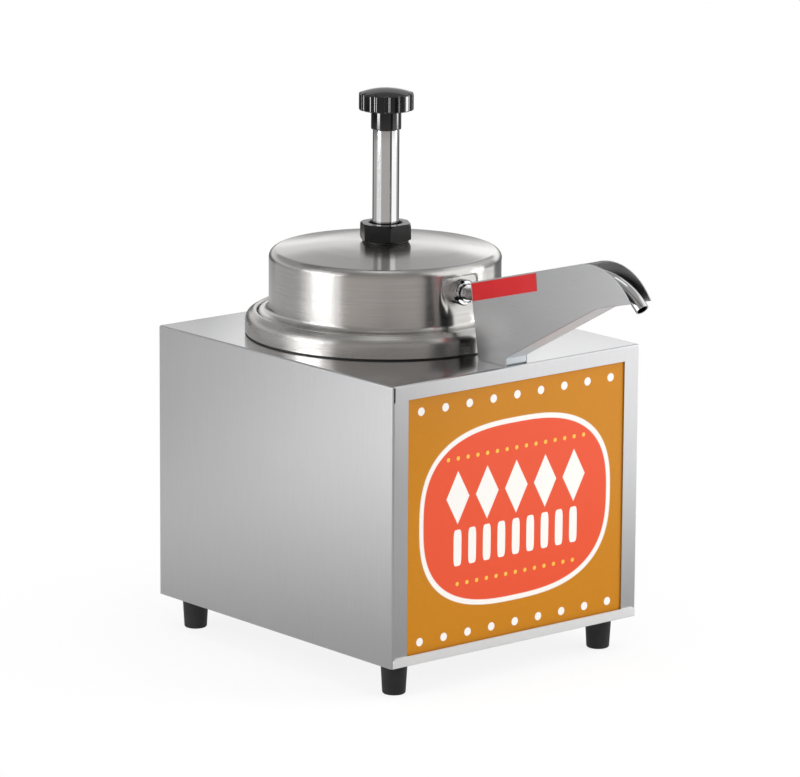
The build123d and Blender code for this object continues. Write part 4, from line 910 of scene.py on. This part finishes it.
def makeFeet():
    for node in ("foot_front_left", "foot_front_right", "foot_rear_left", "foot_rear_right"):
        low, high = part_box(node)
        centre = Vector(((low.x + high.x) / 2, (low.y + high.y) / 2, 0))
        height = high.z / mm

        def placed(u, v):
            return centre + Vector((u * mm, 0, v * mm))
        piece = drawLine(node + "_rubber", [
            (footShape["counterbore"], 9, 0), (footShape["counterbore"], 0, 0.4),
            (footShape["bottom"], 0, footShape["round"]), (footShape["top"], height, 0.3),
            (footShape["hole"], height, 0), (footShape["hole"], 9, 0),
        ], placed, 5, closed=True)
        spinLine(piece, 64, centre)
        finishOff(piece)
        dress(piece, look["rubber"], node)


# red band on the spout's near side

bandShape = {"start": 92.0, "end": 159.0, "height": 12.5, "slant": 1.5, "below": 1.0, "thick": 0.15,
             "gap": 0.02}


def makeBand():
    (rear, rearHeight), (crest, crestHeight) = spoutShape["rearTop"], spoutShape["crest"]
    rise = (crestHeight - rearHeight) / (crest - rear)
    ends = (bandShape["start"], bandShape["end"])
    top = [(u, rearHeight + (u - rear) * rise - bandShape["below"]) for u in ends]
    outline = top + [(u + bandShape["slant"], v - bandShape["height"]) for u, v in reversed(top)]
    aside = spoutShape["halfWidth"] + bandShape["thick"] / 2 + bandShape["gap"]
    piece = plateFrom(outline, "redBand", -aside, bandShape["thick"])
    dress(piece, look["redBand"], body="cabinet")


for stage, makers in (
    ("well and collar", (makeWell,)),
    ("lid", (makeLid,)),
    ("pump top", (makeJar, makeKnob, makePlungerTube, makeLockNut)),
    ("spout", (makeDischargeTube, makeSpout, makeSlottedNut)),
    ("feet and band", (makeFeet, makeBand)),
):
    for make in makers:
        make()
    say(stage)


# rear controls: the dial's scale and pointer, and the marks on the switch

controlsLook = {"numbers": "0123456", "step": 45.0, "numberHeight": 5.0, "numberRadius": 21.5,
                "tickFrom": 17.4, "tickTo": 19.2, "tickWidth": 0.6, "ink": 0.06,
                "pointerFrom": 3.0, "pointerTo": 11.0, "pointerWidth": 1.3, "groove": 0.35,
                "rockerTilt": 11.0, "markReach": 4.5, "valley": 1.8, "pivotRise": 1.6, "ringRadius": 1.25}
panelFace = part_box("rear_panel")[1].y / mm
dialLow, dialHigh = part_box("thermostat_dial")
dialMiddle = (dialLow + dialHigh) / 2 / mm


def block(name, middle, size, turn=0.0, axis="Y"):
    # a plain box; place and size in mm, turned about one axis through its middle
    clearSelection()
    bpy.ops.mesh.primitive_cube_add(size=1, location=Vector(middle) * mm)
    piece = named(name)
    piece.scale = Vector(size) * mm
    setattr(piece.rotation_euler, axis.lower(), radians(turn))
    return settle(piece)


def joined(pieces, name):
    clearSelection()
    for piece in pieces:
        piece.select_set(True)
    bpy.context.view_layer.objects.active = pieces[0]
    bpy.ops.object.join()
    pieces[0].name = name
    return pieces[0]


def makeDialScale():
    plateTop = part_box("dial_plate")[1].y / mm
    ink = controlsLook["ink"]
    marks = []
    for i, number in enumerate(controlsLook["numbers"]):
        turn = i * controlsLook["step"]
        towards = Vector((-sin(radians(turn)), 0, cos(radians(turn))))
        middle = (controlsLook["tickFrom"] + controlsLook["tickTo"]) / 2
        spot = Vector((dialMiddle.x, plateTop + ink / 2, dialMiddle.z)) + towards * middle
        size = (controlsLook["tickWidth"], ink, controlsLook["tickTo"] - controlsLook["tickFrom"])
        marks.append(block("tick", spot, size, -turn))
        spot = Vector((dialMiddle.x, plateTop, dialMiddle.z)) + towards * controlsLook["numberRadius"]
        clearSelection()
        bpy.ops.object.text_add(location=spot * mm, rotation=(radians(90), 0, pi))
        text = bpy.context.object
        text.data.body = number
        text.data.size = controlsLook["numberHeight"] * mm
        text.data.align_x = "CENTER"
        text.data.align_y = "CENTER"
        text.data.extrude = ink * mm
        bpy.ops.object.convert(target="MESH")
        marks.append(settle(bpy.context.object))
    dress(joined(marks, "dialScale"), look["print"], beside="dial_plate")


def makeDial():
    piece = cleanCopy("thermostat_dial", "thermostatDial")
    length = controlsLook["pointerTo"] - controlsLook["pointerFrom"]
    middle = Vector((dialMiddle.x, dialHigh.y / mm, dialMiddle.z + controlsLook["pointerFrom"] + length / 2))
    depth = controlsLook["groove"]
    cut(piece, block("groove", middle, (controlsLook["pointerWidth"], 2 * depth, length)))
    finishOff(piece, 0.12, 40)
    dress(piece, look["blackGloss"], "thermostat_dial")
    pointer = block("dialPointer", middle - Vector((0, 0.6 * depth, 0)),
                    (controlsLook["pointerWidth"] - 0.04, 0.6 * depth, length - 0.04))
    dress(pointer, look["print"], beside="thermostat_dial")


def makeSwitchMarks():
    middle = sum(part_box("switch_body"), Vector()) / 2 / mm
    tilt = radians(controlsLook["rockerTilt"])
    reach = controlsLook["markReach"]
    rise = controlsLook["valley"] + reach * tan(tilt)
    pivot = Vector((middle.x, panelFace + controlsLook["pivotRise"], middle.z))
    spots = []
    for side in (1, -1):
        spots.append(pivot + Vector((0, rise * cos(tilt) - side * reach * sin(tilt),
                                     rise * sin(tilt) + side * reach * cos(tilt))))
    clearSelection()
    bpy.ops.mesh.primitive_torus_add(
        major_radius=controlsLook["ringRadius"] * mm, minor_radius=0.2 * mm,
        major_segments=40, minor_segments=8, location=spots[0] * mm, rotation=(pi / 2, 0, 0))
    ring = settle(bpy.context.object)
    bar = block("onMark", spots[1], (0.5, 0.2, 2.8), 2 * controlsLook["rockerTilt"], "X")
    dress(joined([ring, bar], "switchMarks"), look["print"], beside="switch_rocker")


makeDialScale()
makeDial()
makeSwitchMarks()
say("rear controls")


# return spring: a merged copy of the CAD spring with a mesh of its own; on the real pump its foot stays on
# the valve body and its top goes down with the piston


def makeSpring():
    piece = cleanCopy("return_spring", "returnSpring")
    dress(piece, look["turned"], "return_spring")
    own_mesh(piece)


makeSpring()


# cross recesses in the screw heads

crossShape = {"length": 3.6, "width": 0.8, "depth": 0.9}


def makeScrews(node, name, places, along):
    # places are the middles of the heads' tops; along is the way the heads face
    piece = cleanCopy(node, name)
    long, narrow, deep = crossShape["length"], crossShape["width"], crossShape["depth"] * 2
    for size in ((long, narrow), (narrow, long)):
        size = (size[0], deep, size[1]) if along == "Y" else (size[0], size[1], deep)
        cut(piece, joined([block("arm", place, size) for place in places], "arms"))
    finishOff(piece, 0.1, 40)
    dress(piece, look["zinc"], node)


def headPlaces(node, along, sign):
    # the middle of each screw's head, found from the vertices at the heads' far ends
    mesh = nodes[node].data
    axis = "XYZ".index(along)
    ends = max(sign * vertex.co[axis] for vertex in mesh.vertices)
    tops = [vertex.co.copy() for vertex in mesh.vertices if sign * vertex.co[axis] > ends - 0.01 * mm]
    groups = []
    for top in tops:
        near = [group for group in groups if (group[0] - top).length < 12 * mm]
        if near:
            near[0].append(top)
        else:
            groups.append([top])
    return [sum(group, Vector()) / len(group) / mm for group in groups]


makeScrews("rear_screws", "rearScrews", headPlaces("rear_screws", "Y", 1), "Y")
makeScrews("foot_screws", "footScrews", headPlaces("foot_screws", "Z", -1), "Z")
makeScrews("spout_screws", "spoutScrews", headPlaces("spout_screws", "Z", 1), "Z")
say("screws")


# sheet metal keeps its CAD shape in merged copies, the rear panel and sign softly edged; the rest of the
# nodes keep their CAD meshes and are only painted

def finishOf(node):
    return look[nodeLook.get(node) or slotLook[slotOf[node]]]


for node, name, edge in (("housing_shell", "housingShell", 0.0), ("base_pan", "basePan", 0.0),
                         ("rear_panel", "rearPanel", 0.15), ("sign_panel", "signPanel", 0.3)):
    piece = cleanCopy(node, name, edge)
    dress(piece, finishOf(node), node, second=look["deck"] if node == "housing_shell" else None)
    if node == "housing_shell":
        secondOnTop(piece, deckTop - 0.1)

for node, thing in nodes.items():
    if thing.hide_render:
        continue
    if not thing.material_slots:
        thing.data.materials.append(finishOf(node))
    for slot in thing.material_slots:
        slot.material = finishOf(node)
say("remaining nodes painted")


# floor, light and camera

studio = {
    "worldSoft": 0.50,          # what the world gives matt surfaces
    "coveRadius": 0.6, "coveHeight": 1.6, "coveTop": 1.2,
    "coveTurn": -40.2,          # the middle of the grey front, as an azimuth
    "warm": (1.03, 0.985, 0.95, 1),
    "warmFrom": -42, "warmTo": 37,
    "rightLean": ((0.07, 66.0), (0.17, 52.0)),      # the right panel's near edge at two heights
    "ceiling": 0.42, "overhead": 1.3, "overheadSize": 0.30,
    # the floor is grey inside the first distance and white past the second
    "floorFade": (0.16, 0.42), "floorNear": 0.84,
    # painted shade: how much dimmer the floor glows in the metal close to the warmer
    "mirrorPaintedShade": 0.54,          # how much darker the metal sees the floor close to the warmer
    "lamps": (                  # name, azimuth, elevation, distance, width, height, power
        ("leftLamp", -100, 25, 1.8, 0.9, 1.4, 12),
        ("rightLamp", 45, 25, 1.8, 0.9, 1.4, 18),
        ("topLamp", 0, 80, 1.8, 1.6, 1.6, 16),
    ),
    # the ring of boards in rows: top in m, softness of the edges, strength behind, then pairs of
    # (from this angle on, strength) from the left rear round to the right rear
    "rows": (
        (0.095, 6.0, 1.15, (-166, 0.58), (-90, 1.6), (-42, 0.57), (34, 0.05), ("lean", 1.38)),
        (0.182, 1.5, 1.15, (-166, 0.6), (-80, 1.5), (-43, 0.64), (38, 0.06), ("lean", 1.55), (131, 0.2),
         (160, 1.15)),
        (0.235, 2.0, 0.1, (-131, 0.47), (-86, 0.98), (-41, 0.5), (36, 0.06), (52, 1.35), (106, 0.45),
         (130, 0.1)),
        (0.268, 2.0, 0.1, (-131, 0.5), (-86, 1.02), (-41, 0.5), (36, 0.06), (52, 1.4), (106, 0.45),
         (130, 0.1)),
        (0.325, 1.5, 0.2, (-150, 0.1), (-72, 13.0), (-50, 0.3), (36, 0.06), (52, 0.7), (90, 11.0),
         (106, 0.3), (150, 0.3)),
        (0.385, 1.5, 1.25, (-166, 0.93), (-84, 2.4), (-42, 0.35), (34, 0.05), (50, 1.6), (110, 0.5),
         (136, 1.25), (170, 0.93)),
        (0.475, 1.5, 0.92, (-166, 0.8), (-84, 2.4), (-42, 0.5), (34, 0.05), (50, 1.6), (110, 0.5),
         (136, 1.4), (172, 1.12)),
        (0.8, 2.0, 0.55, (-166, 0.42), (-78, 0.95), (-41, 0.36), (48, 1.45), (110, 0.75), (150, 0.55)),
        (9.0, 3.0, 0.3, (-166, 0.22), (45, 0.95), (150, 0.3)),
    ),
}


def makeFloor():
    clearSelection()
    bpy.ops.mesh.primitive_plane_add(size=14)
    floor = named("floor")
    finish = Finish("paleFloor", Roughness=0.9)
    tone = finish.noise(finish.place, 3.0, 3.0)
    finish.colour(finish.between(tone, (0.88, 0.88, 0.88, 1), (0.90, 0.90, 0.90, 1)))
    glow = finish.add("ShaderNodeEmission", {"Color": (1, 1, 1, 1), "Strength": 1.0})
    camera, mirrored = finish.rays()
    flat = finish.length(finish.place)
    near, far = studio["floorFade"]
    fade = {"Value": flat, "From Min": near, "From Max": far, "To Min": studio["floorNear"], "To Max": 1.0}
    plain = finish.add("ShaderNodeMapRange", fade, interpolation_type="SMOOTHSTEP").outputs[0]
    seen = finish.math("MULTIPLY", camera, plain)
    # painted shade: in the metal the floor glows dimmer near the warmer than far away
    dim = finish.spread(flat, studio["mirrorPaintedShade"], 0.0, 0.2, 0.8)
    finish.feed(glow.inputs["Strength"], finish.math("SUBTRACT", 1.0, finish.math("MULTIPLY", mirrored, dim)))
    share = finish.math("MAXIMUM", seen, mirrored)
    mix = finish.add("ShaderNodeMixShader", {0: share, 1: finish.shader.outputs[0], 2: glow.outputs[0]})
    finish.show(mix)
    floor.data.materials.append(finish.material)


def makeCove():
    # grey boards and two bright panels round the set, seen only as reflections in the metal
    clearSelection()
    bpy.ops.mesh.primitive_cylinder_add(
        vertices=96, radius=studio["coveRadius"], depth=studio["coveHeight"], end_fill_type="NOTHING",
        location=(0, cabinetMiddle * mm, studio["coveHeight"] / 2 + 0.002))
    cove = settle(named("cove"))
    finish = Finish("coveBoards")
    turn = {"Vector": finish.centred(cabinetMiddle), "Angle": radians(-studio["coveTurn"])}
    turned = finish.add("ShaderNodeVectorRotate", turn, rotation_type="Z_AXIS").outputs[0]
    x, y, z = finish.parts(turned)
    angle = finish.math("MULTIPLY", finish.math("ARCTAN2", x, finish.math("MULTIPLY", y, -1.0)), 180 / pi)

    (lowHeight, lowEdge), (highHeight, highEdge) = studio["rightLean"]
    leaning = finish.math("SUBTRACT", angle, finish.spread(z, lowEdge, highEdge, lowHeight, highHeight))

    def blend(share, before, after):
        return finish.add("ShaderNodeMix", {0: share, 2: before, 3: after}, data_type="FLOAT").outputs[0]

    def step(value, edge, soft):
        # 0 below an edge, 1 above it
        return finish.spread(value, 0.0, 1.0, edge - soft, edge + soft)

    light = None
    for top, soft, behind, *boards in studio["rows"]:
        strength = behind
        for start, value in boards:
            share = step(leaning, 0.0, soft) if start == "lean" else step(angle, start, soft)
            strength = blend(share, strength, value)
        light = strength if light is None else blend(step(z, below, 0.008), light, strength)
        below = top
    tint = finish.between(
        finish.math("SUBTRACT", step(angle, studio["warmFrom"], 2), step(angle, studio["warmTo"], 3)),
        (1, 1, 1, 1), studio["warm"])
    finish.glow(light, tint)
    cove.data.materials.append(finish.material)
    bpy.ops.mesh.primitive_plane_add(size=7, location=(0, cabinetMiddle * mm, studio["coveTop"]))
    roof = named("roof")
    finish = Finish("roofBoard")
    x, y, _ = finish.parts(finish.centred(cabinetMiddle))
    aside = finish.math("MAXIMUM", finish.math("ABSOLUTE", x), finish.math("ABSOLUTE", y))
    half = studio["overheadSize"] / 2
    finish.glow(finish.spread(aside, studio["overhead"], studio["ceiling"], half, half + 0.02))
    roof.data.materials.append(finish.material)
    for board in (cove, roof):
        board.visible_camera = False
        board.visible_diffuse = False
        board.visible_shadow = False
        board.visible_transmission = False


def makeWorld():
    world = bpy.data.worlds.new("studio")
    bpy.context.scene.world = world
    world.use_nodes = True
    graph = Graph(world.node_tree)
    graph.tree.nodes.clear()
    camera, mirrored = graph.rays()
    soft, bright = (graph.add("ShaderNodeBackground", {0: (1, 1, 1, 1), 1: strength}).outputs[0]
                    for strength in (studio["worldSoft"], 1.0))
    seen = graph.math("MAXIMUM", camera, mirrored)
    mix = graph.add("ShaderNodeMixShader", {0: seen, 1: soft, 2: bright})
    graph.add("ShaderNodeOutputWorld", {0: mix.outputs[0]})


cameraShape = {"azimuth": -40.222, "elevation": 12.62, "roll": 0.397, "lens": 228.05, "distance": 3.63906,
               "aim": (2.746, 0.0, 183.867)}


def direction(azimuth, elevation):
    # unit vector from the object to something seen at that azimuth and elevation
    a, e = radians(azimuth), radians(elevation)
    return Vector((sin(a) * cos(e), -cos(a) * cos(e), sin(e)))


def makeCamera():
    camera = newObject("camera", bpy.data.cameras.new("camera"))
    camera.data.lens = cameraShape["lens"]
    camera.data.sensor_width = 36
    aim = Vector(cameraShape["aim"]) * mm + Vector((0, cabinetMiddle * mm, 0))
    back = direction(cameraShape["azimuth"], cameraShape["elevation"])
    turn = Matrix.Rotation(radians(cameraShape["azimuth"]), 4, "Z")
    turn = turn @ Matrix.Rotation(radians(90 - cameraShape["elevation"]), 4, "X")
    turn = turn @ Matrix.Rotation(radians(cameraShape["roll"]), 4, "Z")
    camera.matrix_world = Matrix.Translation(aim + back * cameraShape["distance"]) @ turn
    bpy.context.scene.camera = camera


def makeLamp(name, azimuth, elevation, distance, width, height, power):
    lamp = newObject(name, bpy.data.lights.new(name, "AREA"))
    lamp.data.shape = "RECTANGLE"
    lamp.data.size = width
    lamp.data.size_y = height
    lamp.data.energy = power
    lamp.visible_glossy = False
    back = direction(azimuth, elevation)
    middle = Vector((0, cabinetMiddle * mm, 0.2))
    lamp.location = middle + back * distance
    lamp.rotation_mode = "QUATERNION"
    lamp.rotation_quaternion = (-back).to_track_quat("-Z", "Y")


makeFloor()
makeCove()
makeWorld()
makeCamera()
for lamp in studio["lamps"]:
    makeLamp(*lamp)
bpy.context.scene.view_settings.view_transform = "Standard"
say("floor, light and camera")
